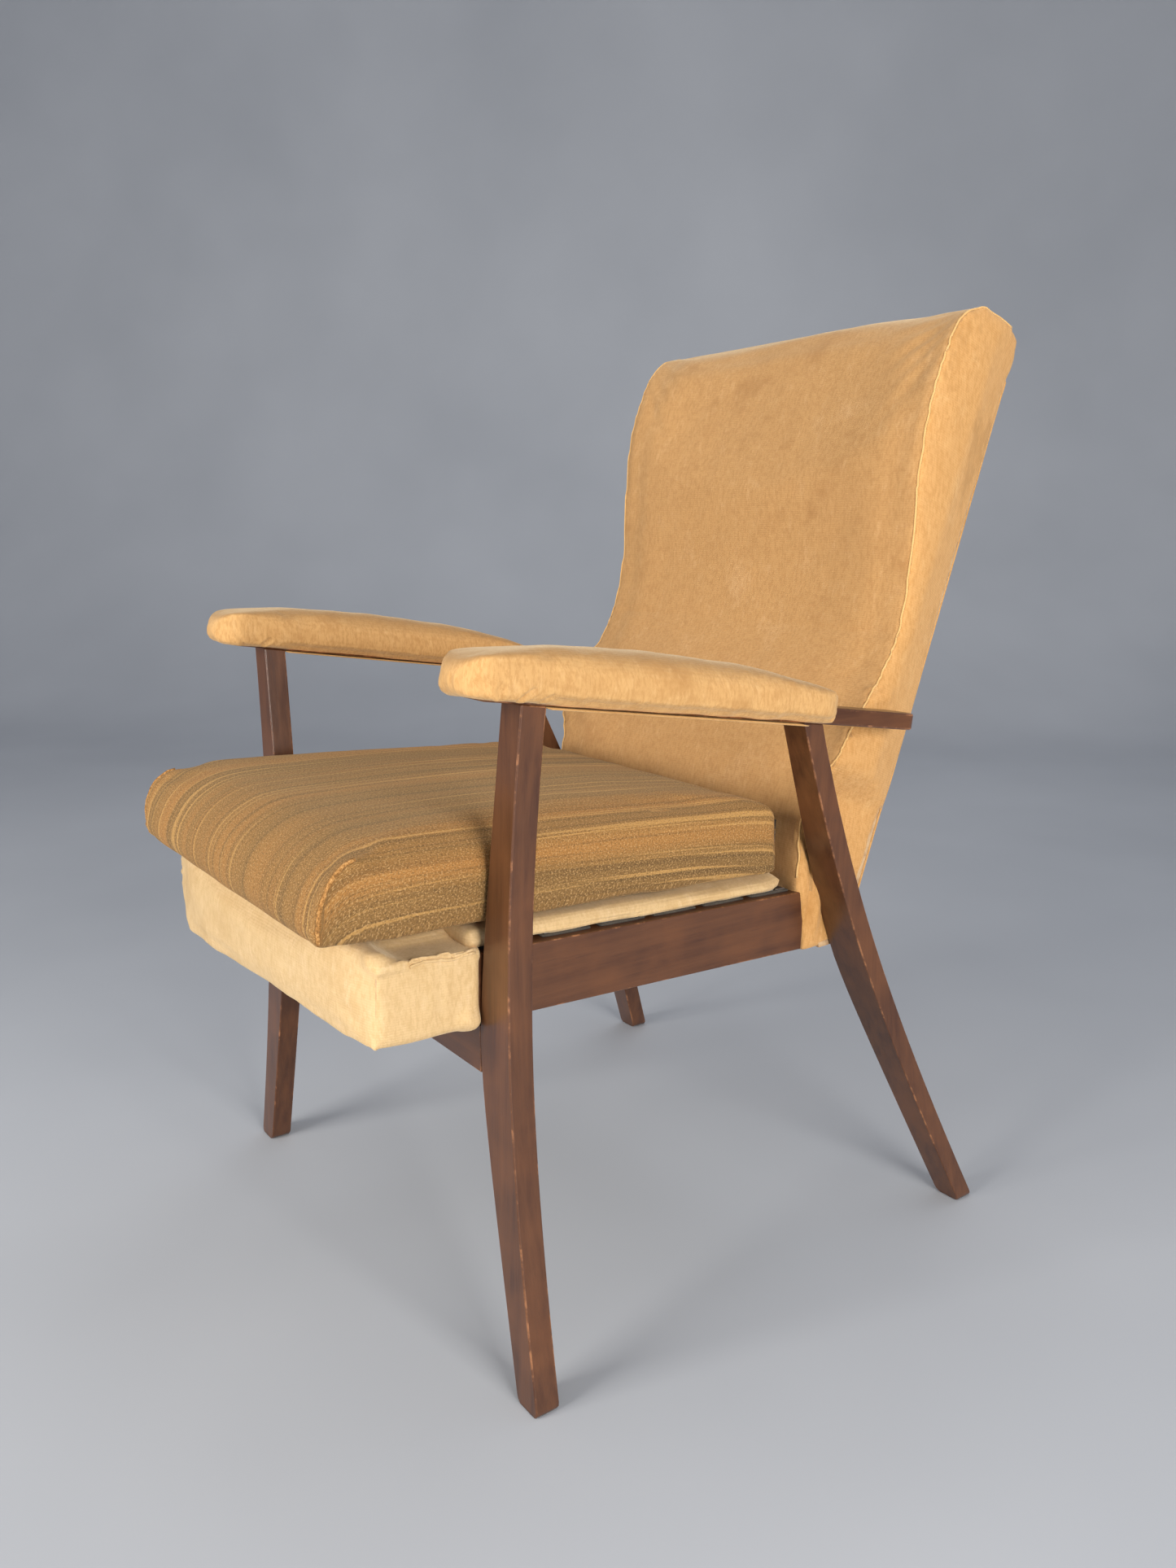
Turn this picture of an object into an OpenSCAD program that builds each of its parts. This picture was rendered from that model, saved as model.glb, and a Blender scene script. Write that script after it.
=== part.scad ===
// Upholstered armchair on four cranked wooden legs, with padded arms and a loose seat cushion.
// Millimetres, +Z up, the chair faces -Y, X = 0 is the plane of symmetry.
// The sitter's left is +X. The origin is on the floor, under the middle of the chair's box.

/* [Legs] */
// Front-to-back thickness of the leg boards
leg_t = 23; // [18:1:28]
// Outer face: X where its two straight stretches would meet
leg_outer_x = 178.5; // [174:0.5:184]
// Outer face: height of that meeting point
leg_outer_z = 333; // [310:1:350]
// Inner face: X where its two straight stretches would meet
leg_inner_x = 196.5; // [192:0.5:200]
// Inner face: height of that meeting point
leg_inner_z = 294; // [280:1:310]
// Front legs: backward lean, as run over rise
front_lean = 0.0236; // [0:0.002:0.05]
// Rear legs: distance of their front face behind the front legs' at the floor
rear_leg_y = 547; // [520:1:570]
// Rear legs: forward lean, as run over rise
rear_lean = 0.421; // [0.36:0.005:0.45]
// Radius of the corners at the feet
foot_r = 7; // [3:1:10]

/* [Arms] */
// Height of the arm rail's underside above the front of the front legs
arm_z = 587; // [570:1:605]
// Angle at which the arms fall towards the rear, in degrees
arm_slope = 8.25; // [6:0.25:10]
// Distance from the middle of the chair to the middle of an arm
arm_x = 249; // [247:1:252]
// Thickness of the arm rail
arm_rail_t = 16; // [14:1:19]
// Width of the arm rail
arm_rail_w = 34; // [30:1:34]
// Rear end of the arm rail, along the rail
arm_rail_end = 473; // [465:1:480]
// Width of the arm pad
pad_w = 66; // [58:1:68]
// Height of the arm pad's crest above the rail's underside
pad_h = 49; // [42:1:54]
// Front end of the arm pad, along the rail
pad_front = -46; // [-60:1:-36]
// Rear end of the arm pad, along the rail
pad_rear = 361; // [340:1:370]

/* [Seat] */
// Distance from the middle to the seat rails' outer faces
seat_half_w = 206.5; // [206:0.5:207]
// Height of the seat rails' top at the front legs' front face
seat_z = 375; // [368:1:382]
// Angle at which the seat falls towards the rear, in degrees
seat_slope = 2.6; // [2:0.1:3.5]
// Height of a seat rail board
seat_rail_h = 60.5; // [55:0.5:61]
// Thickness of the frame boards
board_t = 22; // [20:1:23]
// Front of the padded border, ahead of the front legs
border_front = 92; // [86:1:98]
// Height of the padded platform above the rails
platform_h = 19.6; // [17:0.2:19.8]
// Number of webbing straps across the seat
seat_straps = 6; // [4:1:6]

/* [Cushion] */
// Front of the loose cushion, ahead of the front legs
cushion_front = 141; // [125:1:146]
// Rear of the loose cushion, along the seat
cushion_rear = 365; // [355:1:366]
// Thickness of the cushion at its edges
cushion_t = 75; // [60:1:80]
// Extra thickness in the middle of the cushion
cushion_crown = 10; // [4:1:14]
// Half width of the cushion between the legs
cushion_half_w = 208; // [203:0.5:209]
// Half width of the cushion where it stands ahead of the front legs
cushion_nose_half_w = 219; // [210:1:224]

/* [Back] */
// Backward lean of the back, in degrees
back_lean = 19.9; // [18:0.1:21]
// Lower rear edge of the back, behind the front legs' front face
back_y = 445.3; // [442:0.1:448]
// Height of the back's lower edge
back_z = 293; // [290:1:300]
// Length of the back along its lean
back_len = 641; // [630:1:650]
// Half width of the back's front above the arms
back_half_w = 232; // [231:0.5:232]
// Half width of the back at its rear face
back_rear_half_w = 210; // [208:1:214]
// Depth of the back at its thinnest
back_d = 80; // [76:1:84]
// Extra depth in the small of the back
lumbar_d = 39; // [26:1:42]
// Extra depth at head height
head_d = 49; // [40:1:52]
// Thickness of the foam over the back's frame
back_foam_t = 24; // [22:1:26]

/* [Covers and fixings] */
// Thickness of the covers
cloth = 1.5; // [1:0.1:1.5]
// Radius of the bolts' shanks
bolt_r = 3; // [2.5:0.5:3]
// Radius of the bolts' heads
bolt_head_r = 6.5; // [5.5:0.5:7]
// Radius of the wooden dowels
dowel_r = 4; // [3:0.5:4]

/* [Hidden] */
$fn = 48;

// Front face of the front legs at the floor, measured from the middle of the chair's depth
front_y = -260.7;
// A length that runs past everything
far = 1600;
// Height step along the leg curves, and the height they are drawn to
leg_step = 20;
leg_draw_h = 620;
// Slopes and rounding of the leg's two faces: splay below the knee, rise above it, ease between
outer_splay = 0.2746;
outer_rise = 0.2121;
outer_ease = 294;
inner_splay = 0.2369;
inner_rise = 0.1342;
inner_ease = 59.5;

arm_fall = tan(arm_slope);
arm_inner_x = arm_x - arm_rail_w / 2;
seat_inner_x = seat_half_w - board_t;
strap_w = 50;
strap_t = 2.5;
back_strap_t = 2;
rear_cover_t = 2;
back_board_n = 24;

// Front legs' front face at the height of the seat
leg_seat_y = front_lean * (seat_z - seat_rail_h);

// ---- Outlines worked out from the sizes above ----

// X of a leg's face at height z: two straight stretches joined by an easy curve
function leg_face(z, x, knee_z, splay, rise, ease) =
    let (dz = z - knee_z, q = sqrt(dz * dz + ease * ease))
    x + splay * (q - dz) / 2 + rise * (q + dz) / 2;
function leg_outer(z) = leg_face(z, leg_outer_x, leg_outer_z, outer_splay, outer_rise, outer_ease);
function leg_inner(z, limit) =
    max(limit, leg_face(z, leg_inner_x, leg_inner_z, inner_splay, inner_rise, inner_ease));

// Front view of a leg, with rounded corners at the foot
function leg_outline(limit) = concat(
    [for (a = [0:30:90]) [leg_inner(0, limit) + foot_r * (1 - sin(a)), foot_r * (1 - cos(a))]],
    [for (z = [leg_step:leg_step:leg_draw_h]) [leg_inner(z, limit), z]],
    [for (z = [leg_draw_h:-leg_step:leg_step]) [leg_outer(z), z]],
    [for (a = [90:-30:0]) [leg_outer(0) - foot_r * (1 - sin(a)), foot_r * (1 - cos(a))]]);

// Height at which a leg whose front face starts at y meets the arm rail's underside
function leg_top_z(y, lean) = (arm_z - arm_fall * y) / (1 + arm_fall * lean);

// Height of the arm pad above the rail's underside, along the rail
pad_arch_r = 1200;
pad_crest_s = 145;
pad_end_r = 24;
function pad_top(s) = pad_h - pow(s - pad_crest_s, 2) / (2 * pad_arch_r);

// Raised-cosine bump: 1 at the centre, 0 at the given half width and beyond
function bump(t, centre, half) = abs(t - centre) < half ? (1 + cos(180 * (t - centre) / half)) / 2 : 0;

// Depth of the back at its side seam, at length t along the lean
lumbar_t = 145;
lumbar_half = 175;
head_t = 548;
head_half = 260;
function back_depth(t) = back_d + lumbar_d * bump(t, lumbar_t, lumbar_half)
    + head_d * bump(t, head_t, head_half);

// Point [y, z] at length t along the back's rear face and n in front of it
function back_point(t, n) = [back_y + t * sin(back_lean) - n * cos(back_lean),
                             back_z + t * cos(back_lean) + n * sin(back_lean)];

// Both halves of an outline drawn for X > 0, as one outline
function both_sides(p) = concat(p, [for (i = [len(p) - 1:-1:0]) [-p[i][0], p[i][1]]]);

// Side view of the back, its front and top taken in by g, its rear face at depth n0
back_toe_t = 36;
back_toe_y = 383;
top_r = 60;
rear_top_r = 36;
function back_profile(g, n0) =
    let (t_top = back_len - top_r, n_top = back_depth(back_len - top_r)) concat(
    [[back_toe_y + g, back_z]],
    [for (t = [back_toe_t:18:t_top - 1]) back_point(t, back_depth(t) - g)],
    [for (a = [0:10:90]) back_point(t_top + (top_r - g) * sin(a), n_top - top_r + (top_r - g) * cos(a))],
    rear_top_r > g ? [for (a = [0:15:90]) back_point(back_len - rear_top_r + (rear_top_r - g) * cos(a),
                                                     rear_top_r - (rear_top_r - n0) * sin(a))]
                   : [back_point(back_len - g, n0)],
    [back_point(0, n0)]);

// Half width of the back at length t: narrow between the rear legs, full width from the arms up
back_waist_half_w = seat_half_w + cloth;
waist_t0 = 132;
waist_t1 = 178;
corner_r = 16;
function back_half(t) = t < waist_t0 ? back_waist_half_w : t > waist_t1 ? back_half_w :
    back_waist_half_w + (back_half_w - back_waist_half_w) * bump(t, waist_t1, waist_t1 - waist_t0);

// Front view of half the back, taken in by g
function back_half_outline(g) = concat(
    [[back_waist_half_w - g, -far / 2]],
    [for (t = [waist_t0:7:waist_t1]) [back_half(t) - g, t]],
    [for (a = [0:15:90]) [back_half_w - corner_r + (corner_r - g) * cos(a),
                           back_len - corner_r + (corner_r - g) * sin(a)]]);

// Side view of the loose cushion: bull-nosed front, crowned top, inset by g
cushion_bottom = 20;
cushion_rear_r = 12;
crown_start_v = -75;
crown_step = 30;
function cushion_top(v) =
    let (mid = (cushion_rear - cushion_front) / 2, half = (cushion_rear + cushion_front) / 2)
    cushion_bottom + cushion_t + cushion_crown * (1 - pow((v - mid) / half, 2));
function cushion_profile(g) =
    let (r = cushion_t / 2, v0 = -cushion_front + r, h0 = cushion_bottom + r) concat(
    [for (a = [270:-15:105]) [v0 + (r - g) * cos(a), h0 + (r - g) * sin(a)]],
    [for (v = [crown_start_v:crown_step:cushion_rear - crown_step]) [v, cushion_top(v) - g]],
    [for (a = [90:-30:0]) [cushion_rear - cushion_rear_r + (cushion_rear_r - g) * cos(a),
                            cushion_top(cushion_rear - cushion_rear_r) - cushion_rear_r
                            + (cushion_rear_r - g) * sin(a)]],
    [[cushion_rear - g, cushion_bottom + g]]);

// Plan of half the loose cushion: wide ahead of the front legs, narrower between them
cushion_corner_r = 26;
nose_end_v = -50;
leg_gap_v = -4;
cushion_taper = 14;
cushion_taper_v = 20;
function cushion_half_plan(g) = concat(
    [for (a = [270:15:360]) [cushion_nose_half_w - cushion_corner_r + (cushion_corner_r - g) * cos(a),
                              -cushion_front + cushion_corner_r + (cushion_corner_r - g) * sin(a)]],
    [[cushion_nose_half_w - g, nose_end_v], [cushion_half_w - g, leg_gap_v],
     [cushion_half_w - g, cushion_rear - cushion_taper_v],
     [cushion_half_w - cushion_taper - g, cushion_rear - g]]);

// Side view of the padded border: a roll above a rounded front, inset by g
border_bottom = -66;
roll_r = 20;
border_toe_r = 10;
function border_profile(g) = concat(
    [for (a = [270:-30:180]) [-border_front - border_bow + border_toe_r + (border_toe_r - g) * cos(a),
                               border_bottom + border_toe_r + (border_toe_r - g) * sin(a)]],
    [for (a = [180:-15:90]) [-border_front - border_bow + roll_r + (roll_r - g) * cos(a),
                              platform_h - roll_r + (roll_r - g) * sin(a)]]);
border_rear = 6.5;
border_bow = 12;
bow_steps = 8;

// Front view of half the border, inset by g
border_corner_r = 20;
border_half_w = seat_half_w + cloth;
function border_half_front(g) = concat(
    [[border_half_w - g, border_bottom + g]],
    [for (a = [0:15:90]) [border_half_w - border_corner_r + (border_corner_r - g) * cos(a),
                           platform_h - border_corner_r + (border_corner_r - g) * sin(a)]]);

// ---- Frames and extrusions ----

// Draws a piece measured from the front legs' front face at the floor
module chair() { translate([0, front_y, 0]) children(); }
// Frame of the arms: Y along the rail towards the rear, Z square to its underside
module arm_frame() { translate([0, 0, arm_z]) rotate([-arm_slope, 0, 0]) children(); }
// Frame of the seat: Y along the rails towards the rear, Z square to their top
module seat_frame() { translate([0, 0, seat_z]) rotate([-seat_slope, 0, 0]) children(); }
// Frame of the back: Z along the lean, Y square to the rear face, pointing to the rear
module back_frame() { translate([0, back_y, back_z]) rotate([-back_lean, 0, 0]) children(); }
// Extrudes an outline of [y, z] points along X
module along_x(w = far) { rotate([90, 0, 90]) linear_extrude(height = w, center = true) children(); }
// Extrudes an outline of [x, z] points along Y
module along_y(d = far) { rotate([90, 0, 0]) linear_extrude(height = d, center = true) children(); }
// Both halves of an outline drawn for X > 0
module both_halves() { children(); mirror([1, 0, 0]) children(); }
// A piece drawn on the left, on the left or on the right
module side(s) { if (s > 0) children(); else mirror([1, 0, 0]) children(); }
// A box from one corner to the other
module span(a, b) { translate(a) cube([b[0] - a[0], b[1] - a[1], b[2] - a[2]]); }
// A cylinder along X from x0 to x1
module rod_x(r, x0, x1, y, z) { translate([x0, y, z]) rotate([0, 90, 0]) cylinder(r = r, h = x1 - x0); }

// ---- Fixings: where they are, so that the bores and the pieces agree ----

// [y, z] of the bolts that hold the front and the rear legs
front_bolts = [[19.5, 329], [20.5, 356]];
rear_bolts = [[421, 322], [412, 348]];
leg_bolt_end = seat_half_w + 18;
bolt_head_t = 5;
// [y, z] of the bolt that holds an arm rail to the back, and where it ends
arm_bolt = [462, 528.3];
arm_bolt_end = arm_inner_x + 20;
// Middle of a leg's top, under the arm rail
front_top_y = leg_top_z(0, -front_lean) * front_lean + leg_t / 2;
rear_top_y = rear_leg_y - leg_top_z(rear_leg_y, -rear_lean) * rear_lean + leg_t / 2;
dowel_up = 10;
dowel_down = 20;

// A dowel along a leg whose top middle is at y, leaning by the given run over rise
module dowel(y, lean, r) {
    translate([arm_x + 1, y, arm_z - arm_fall * y]) rotate([-atan(lean), 0, 0])
        translate([0, 0, -dowel_down]) cylinder(r = r, h = dowel_up + dowel_down);
}
module left_dowels(r) { dowel(front_top_y, front_lean, r); dowel(rear_top_y, -rear_lean, r); }
module bolt_row(points, r, x0, x1) { for (p = points) rod_x(r, x0, x1, p[0], p[1]); }
module all_bolt_shanks(r) {
    bolt_row(front_bolts, r, seat_inner_x, leg_bolt_end);
    bolt_row(rear_bolts, r, seat_inner_x, leg_bolt_end);
    bolt_row([arm_bolt], r, seat_inner_x, arm_bolt_end);
}

// ---- Legs ----

module leg(y, lean, limit) {
    top_z = leg_top_z(y, lean);
    top_rear_z = leg_top_z(y + leg_t, lean);
    difference() {
        intersection() {
            along_y() polygon(leg_outline(limit));
            along_x() polygon([[y, 0], [y + leg_t, 0], [y + leg_t + lean * top_rear_z, top_rear_z],
                               [y + lean * top_z, top_z]]);
        }
        left_dowels(dowel_r);
        all_bolt_shanks(bolt_r);
    }
}
module front_leg(s) { color("saddlebrown") chair() side(s) leg(0, front_lean, seat_half_w); }
module rear_leg(s) {
    color("saddlebrown") chair() side(s) leg(rear_leg_y, -rear_lean, seat_half_w + cloth);
}

// ---- Arms ----

rail_front = -20;
rail_corner_r = 13;
module rail_plan() {
    translate([arm_inner_x, rail_front]) square([arm_rail_w, arm_rail_end - rail_front - rail_corner_r]);
    translate([arm_inner_x + rail_corner_r, rail_front])
        square([arm_rail_w - 2 * rail_corner_r, arm_rail_end - rail_front]);
    for (x = [arm_inner_x + rail_corner_r, arm_inner_x + arm_rail_w - rail_corner_r])
        translate([x, arm_rail_end - rail_corner_r]) circle(r = rail_corner_r);
}
module rail_block() { arm_frame() linear_extrude(height = arm_rail_t) rail_plan(); }
module arm_rail(s) {
    color("saddlebrown") chair() side(s) difference() {
        rail_block();
        left_dowels(dowel_r);
        all_bolt_shanks(bolt_r);
    }
}

// Side view of the arm pad, inset by g
function pad_profile(g) = concat(
    [for (a = [180:-15:90]) [pad_front + pad_end_r + (pad_end_r - g) * cos(a),
                              pad_top(pad_front + pad_end_r) - pad_end_r + (pad_end_r - g) * sin(a)]],
    [for (s = [0:25:pad_rear - pad_end_r - 5]) [s, pad_top(s) - g]],
    [for (a = [90:-15:0]) [pad_rear - pad_end_r + (pad_end_r - g) * cos(a),
                            pad_top(pad_rear - pad_end_r) - pad_end_r + (pad_end_r - g) * sin(a)]],
    [[pad_rear - g, g], [pad_front + g, g]]);
module pad_plan(g) {
    r = pad_w / 2;
    translate([arm_x, 0]) {
        translate([-r + g, pad_front + r]) square([2 * (r - g), pad_rear - pad_front - 2 * r]);
        translate([0, pad_front + r]) circle(r = r - g);
        translate([0, pad_rear - r]) circle(r = r - g);
    }
}
pad_edge_r = 20;
pad_lip_r = 9;
module pad_section(g) {
    half = pad_w / 2;
    translate([arm_x, 0]) {
        translate([-half + pad_edge_r, g]) square([pad_w - 2 * pad_edge_r, pad_h - 2 * g]);
        translate([-half + g, pad_lip_r]) square([pad_w - 2 * g, pad_h - pad_edge_r - pad_lip_r]);
        translate([-half + pad_lip_r, g]) square([pad_w - 2 * pad_lip_r, pad_h / 2]);
        for (k = [-1, 1]) {
            translate([k * (half - pad_edge_r), pad_h - pad_edge_r]) circle(r = pad_edge_r - g);
            translate([k * (half - pad_lip_r), pad_lip_r]) circle(r = pad_lip_r - g);
        }
    }
}
module pad_solid(g) {
    arm_frame() intersection() {
        along_x() polygon(pad_profile(g));
        along_y() pad_section(g);
        translate([0, 0, -1]) linear_extrude(height = pad_h + 2) pad_plan(g);
    }
}
module arm_foam(s) { color("khaki") chair() side(s) difference() { pad_solid(cloth); rail_block(); } }
module arm_cover(s) {
    color("goldenrod") chair() side(s) difference() {
        pad_solid(0);
        pad_solid(cloth);
        rail_block();
    }
}
// Cloth strip that closes the cover's underside along the rail, between the legs
underside_t = 1;
underside_lap = 6;
underside_gap = 2;
underside_rear = 316;
module arm_underside(s) {
    color("darkgoldenrod") chair() side(s) arm_frame()
        span([arm_inner_x - underside_lap, front_top_y + leg_t / 2 + underside_gap, -underside_t],
             [arm_inner_x + arm_rail_w + underside_lap, underside_rear, 0]);
}

// ---- Seat frame ----

rail_start = -62;
board_front = -84;
// A seat rail's length along the seat before the back's frame cuts it off
rail_stock_v = 440;
module seat_rail_block() {
    seat_frame() span([seat_inner_x, rail_start, -seat_rail_h], [seat_half_w, rail_stock_v, 0]);
}
module seat_rail(s) {
    color("saddlebrown") chair() side(s) difference() {
        seat_rail_block();
        along_x() polygon(back_profile(stile_g, -past_rear));
        bolt_row(front_bolts, bolt_r, seat_inner_x - 1, leg_bolt_end);
    }
}
// Board under the border, between the front legs
cross_rail_z = 270;
module front_cross_rail() {
    top = seat_z - seat_rail_h - leg_t * tan(seat_slope) - 1;
    color("saddlebrown") chair() span([-seat_half_w, leg_seat_y, cross_rail_z],
                                      [seat_half_w, leg_seat_y + board_t, top]);
}
module border_board() {
    color("burlywood") chair() seat_frame()
        span([-seat_half_w, board_front, -seat_rail_h], [seat_half_w, rail_start, 0]);
}
module corner_blocks() {
    leg_len = 42;
    block_h = 40;
    block_drop = 50;
    color("burlywood") chair() seat_frame() both_halves()
        translate([0, 0, -block_drop]) linear_extrude(height = block_h)
            polygon([[seat_inner_x, rail_start], [seat_inner_x - leg_len, rail_start],
                     [seat_inner_x, rail_start + leg_len]]);
}
module border_solid(g) {
    half = border_half_w;
    seat_frame() intersection() {
        along_x() polygon(concat(border_profile(g), [[border_rear, platform_h - g],
                                                     [border_rear, border_bottom + g]]));
        along_y() polygon(both_sides(border_half_front(g)));
        translate([0, 0, -far / 2]) linear_extrude(height = far)
            polygon(both_sides(concat(
                [for (k = [0:1 / bow_steps:1])
                    [k * (half - g), -border_front - border_bow * (1 - k * k) + g]],
                [[half - g, border_rear]])));
    }
}
module border_foam() {
    color("khaki") chair() difference() {
        border_solid(cloth);
        seat_frame() span([-far, board_front, -far / 2], [far, border_rear + 1, 0]);
    }
}
module border_cover() {
    color("goldenrod") chair() difference() {
        border_solid(0);
        border_solid(cloth);
    }
}
first_strap_v = 40;
last_strap_v = 345;
function strap_v(i) = first_strap_v + i * (last_strap_v - first_strap_v) / (seat_straps - 1);
strap_inset = 8;
strap_half = seat_half_w - strap_inset;
module seat_webbing() {
    color("dimgray") chair() seat_frame() for (i = [0:seat_straps - 1])
        span([-strap_half, strap_v(i) - strap_w / 2, 0], [strap_half, strap_v(i) + strap_w / 2, strap_t]);
}
// Staples that hold the straps' ends, three to an end
module webbing_staples() {
    crown = 12;
    pitch = 16;
    color("silver") chair() seat_frame() for (i = [0:seat_straps - 1], k = [-1, 0, 1], m = [-1, 1])
        translate([m * (seat_half_w - board_t / 2), strap_v(i) + k * pitch - crown / 2, strap_t])
            translate([-staple_wire / 2, 0, 0]) cube([staple_wire, crown, staple_wire]);
}
platform_inset = 7;
platform_half_w = seat_half_w - platform_inset;
platform_rear = 364;
staple_wire = 1.2;
pad_base = strap_t + staple_wire;
module platform_block(g, base) {
    span([-platform_half_w + g, border_rear + g, base],
         [platform_half_w - g, platform_rear - g, platform_h - g]);
}
module platform_pad() { color("khaki") chair() seat_frame() platform_block(cloth, pad_base); }
module platform_cover() {
    color("goldenrod") chair() seat_frame() difference() {
        platform_block(0, pad_base);
        platform_block(cloth, pad_base - 1);
    }
}

// ---- Back ----

stile_g = back_foam_t + back_strap_t;
// How far a cut runs on behind the back's rear face
past_rear = 60;
// Space of the back, taken in by g, with its rear face at depth n0
module back_side_view(g, n0) { along_x() polygon(back_profile(g, n0)); }
module back_front_view(g) { back_frame() along_y() polygon(both_sides(back_half_outline(g))); }
// Section of the back across its lean: its sides spread from the rear face to the full width
spread_n = 60;
module section_outline(g) {
    polygon(both_sides([[back_rear_half_w - g, 0], [back_half_w - g, -spread_n],
                        [back_half_w - g, -far / 2]]));
}
module back_section(g) {
    back_frame() translate([0, 0, -far / 2]) linear_extrude(height = 2 * far) section_outline(g);
}
// A wide cylinder along the lean hollows the middle of the back at head height
dish_r = 1600;
dish_n = 114;
dish_fn = 360;
module back_solid(g, n0) {
    difference() {
        intersection() { back_side_view(g, n0); back_front_view(g); back_section(g); }
        back_frame() translate([0, -dish_n - dish_r, -far / 2])
            cylinder(r = dish_r + g, h = 2 * far, $fn = dish_fn);
    }
}
module back_stile(s) {
    color("burlywood") chair() side(s) difference() {
        intersection() {
            back_side_view(stile_g, rear_cover_t);
            span([seat_inner_x, 0, 0], [seat_half_w, far, far]);
        }
        bolt_row(rear_bolts, bolt_r, seat_inner_x - 1, leg_bolt_end);
        bolt_row([arm_bolt], bolt_r, seat_inner_x - 1, arm_bolt_end);
    }
}
wing_t0 = waist_t0 + 10;
module back_wing(s) {
    color("burlywood") chair() side(s) difference() {
        intersection() {
            back_side_view(stile_g, rear_cover_t);
            back_front_view(cloth);
            back_section(cloth);
            span([seat_half_w, 0, 0], [far, far, far]);
        }
        back_frame() span([0, -far / 2, -far / 2], [far, far / 2, wing_t0]);
        bolt_row([arm_bolt], bolt_r, seat_inner_x, arm_bolt_end);
    }
}
// Rail between the stiles, from t0 to t1 along the lean
module back_rail(t0, t1) {
    color("burlywood") chair() intersection() {
        back_side_view(stile_g, rear_cover_t);
        back_frame() span([-seat_inner_x, -back_board_n, t0], [seat_inner_x, -rear_cover_t, t1]);
    }
}
top_rail_t0 = 575;
lumbar_rail_t = [215, 260];
bottom_rail_t = [8, 62];
module back_top_rail() { back_rail(top_rail_t0, back_len); }
module back_lumbar_rail() { back_rail(lumbar_rail_t[0], lumbar_rail_t[1]); }
module back_bottom_rail() { back_rail(bottom_rail_t[0], bottom_rail_t[1]); }
back_strap_t0 = 95;
back_strap_pitch = 74;
back_straps = 7;
module back_webbing() {
    color("dimgray") chair() intersection() {
        difference() { back_side_view(back_foam_t, -past_rear); back_side_view(stile_g, -2 * past_rear); }
        back_frame() for (i = [0:back_straps - 1])
            translate([-seat_half_w, -far / 2, back_strap_t0 + i * back_strap_pitch - strap_w / 2])
                cube([2 * seat_half_w, far, strap_w]);
    }
}
module back_foam() {
    color("khaki") chair() difference() {
        back_solid(cloth, rear_cover_t);
        back_side_view(back_foam_t, -past_rear);
        both_halves() seat_rail_block();
    }
}
// The part of the covers that lies over the sides of the back
module side_cover_zone() {
    back_frame() difference() {
        span([0, -far / 2, -past_rear], [far, far / 2, back_len - corner_r]);
        intersection() {
            along_y() polygon(both_sides(back_half_outline(cloth)));
            translate([0, 0, -far / 2]) linear_extrude(height = 2 * far) section_outline(cloth);
        }
    }
}
module back_side_cover(s) {
    color("goldenrod") chair() side(s) difference() {
        intersection() { back_solid(0, rear_cover_t); side_cover_zone(); }
        bolt_row(rear_bolts, bolt_r, 0, leg_bolt_end);
        bolt_row([arm_bolt], bolt_r, 0, arm_bolt_end);
    }
}
module back_front_cover() {
    color("goldenrod") chair() difference() {
        back_solid(0, rear_cover_t);
        back_solid(cloth, rear_cover_t);
        both_halves() side_cover_zone();
        both_halves() seat_rail_block();
    }
}
module back_rear_cover() {
    color("goldenrod") chair() difference() {
        back_solid(0, 0);
        back_frame() span([-far, -far / 2, -far / 2], [far, -rear_cover_t, far]);
    }
}

// ---- Fixings ----

module bolt_set(points, end) {
    bolt_row(points, bolt_r, seat_inner_x, end);
    bolt_row(points, bolt_head_r, seat_inner_x - bolt_head_t, seat_inner_x);
}
module leg_bolts() {
    color("silver") chair() both_halves() {
        bolt_set(front_bolts, leg_bolt_end);
        bolt_set(rear_bolts, leg_bolt_end);
    }
}
module arm_bolts() { color("silver") chair() both_halves() bolt_set([arm_bolt], arm_bolt_end); }
module arm_dowels() { color("burlywood") chair() both_halves() left_dowels(dowel_r); }

// ---- Loose cushion ----

module cushion_solid(g) {
    seat_frame() intersection() {
        along_x() polygon(cushion_profile(g));
        linear_extrude(height = far) polygon(both_sides(cushion_half_plan(g)));
    }
}
module cushion_foam() { color("khaki") chair() cushion_solid(cloth); }
module cushion_cover() {
    color("olivedrab") chair() difference() { cushion_solid(0); cushion_solid(cloth); }
}
// Zip along the cushion's rear border, and its slider at the right-hand end
zip_half = 180;
zip_mid_h = cushion_bottom + cushion_t / 2;
zip_tape_t = 0.8;
zip_tape_half_h = 12;
zip_teeth_t = 1.6;
zip_teeth_half_h = 2.5;
module cushion_zip() {
    color("dimgray") chair() seat_frame() {
        span([-zip_half, cushion_rear, zip_mid_h - zip_tape_half_h],
             [zip_half, cushion_rear + zip_tape_t, zip_mid_h + zip_tape_half_h]);
        span([-zip_half, cushion_rear, zip_mid_h - zip_teeth_half_h],
             [zip_half, cushion_rear + zip_teeth_t, zip_mid_h + zip_teeth_half_h]);
    }
}
slider_gap = 0.4;
slider_start = 6;
slider_len = 11;
slider_t = 1.8;
slider_half_h = 5;
tab_w = 5;
tab_t = 1.2;
tab_drop = 20;
tab_rise = 3;
module zip_slider() {
    y0 = cushion_rear + zip_teeth_t + slider_gap;
    x0 = -zip_half + slider_start;
    y1 = y0 + slider_t;
    tab_x0 = x0 + (slider_len - tab_w) / 2;
    color("silver") chair() seat_frame() {
        span([x0, y0, zip_mid_h - slider_half_h], [x0 + slider_len, y1, zip_mid_h + slider_half_h]);
        span([tab_x0, y1, zip_mid_h - tab_drop], [tab_x0 + tab_w, y1 + tab_t, zip_mid_h + tab_rise]);
    }
}

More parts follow.
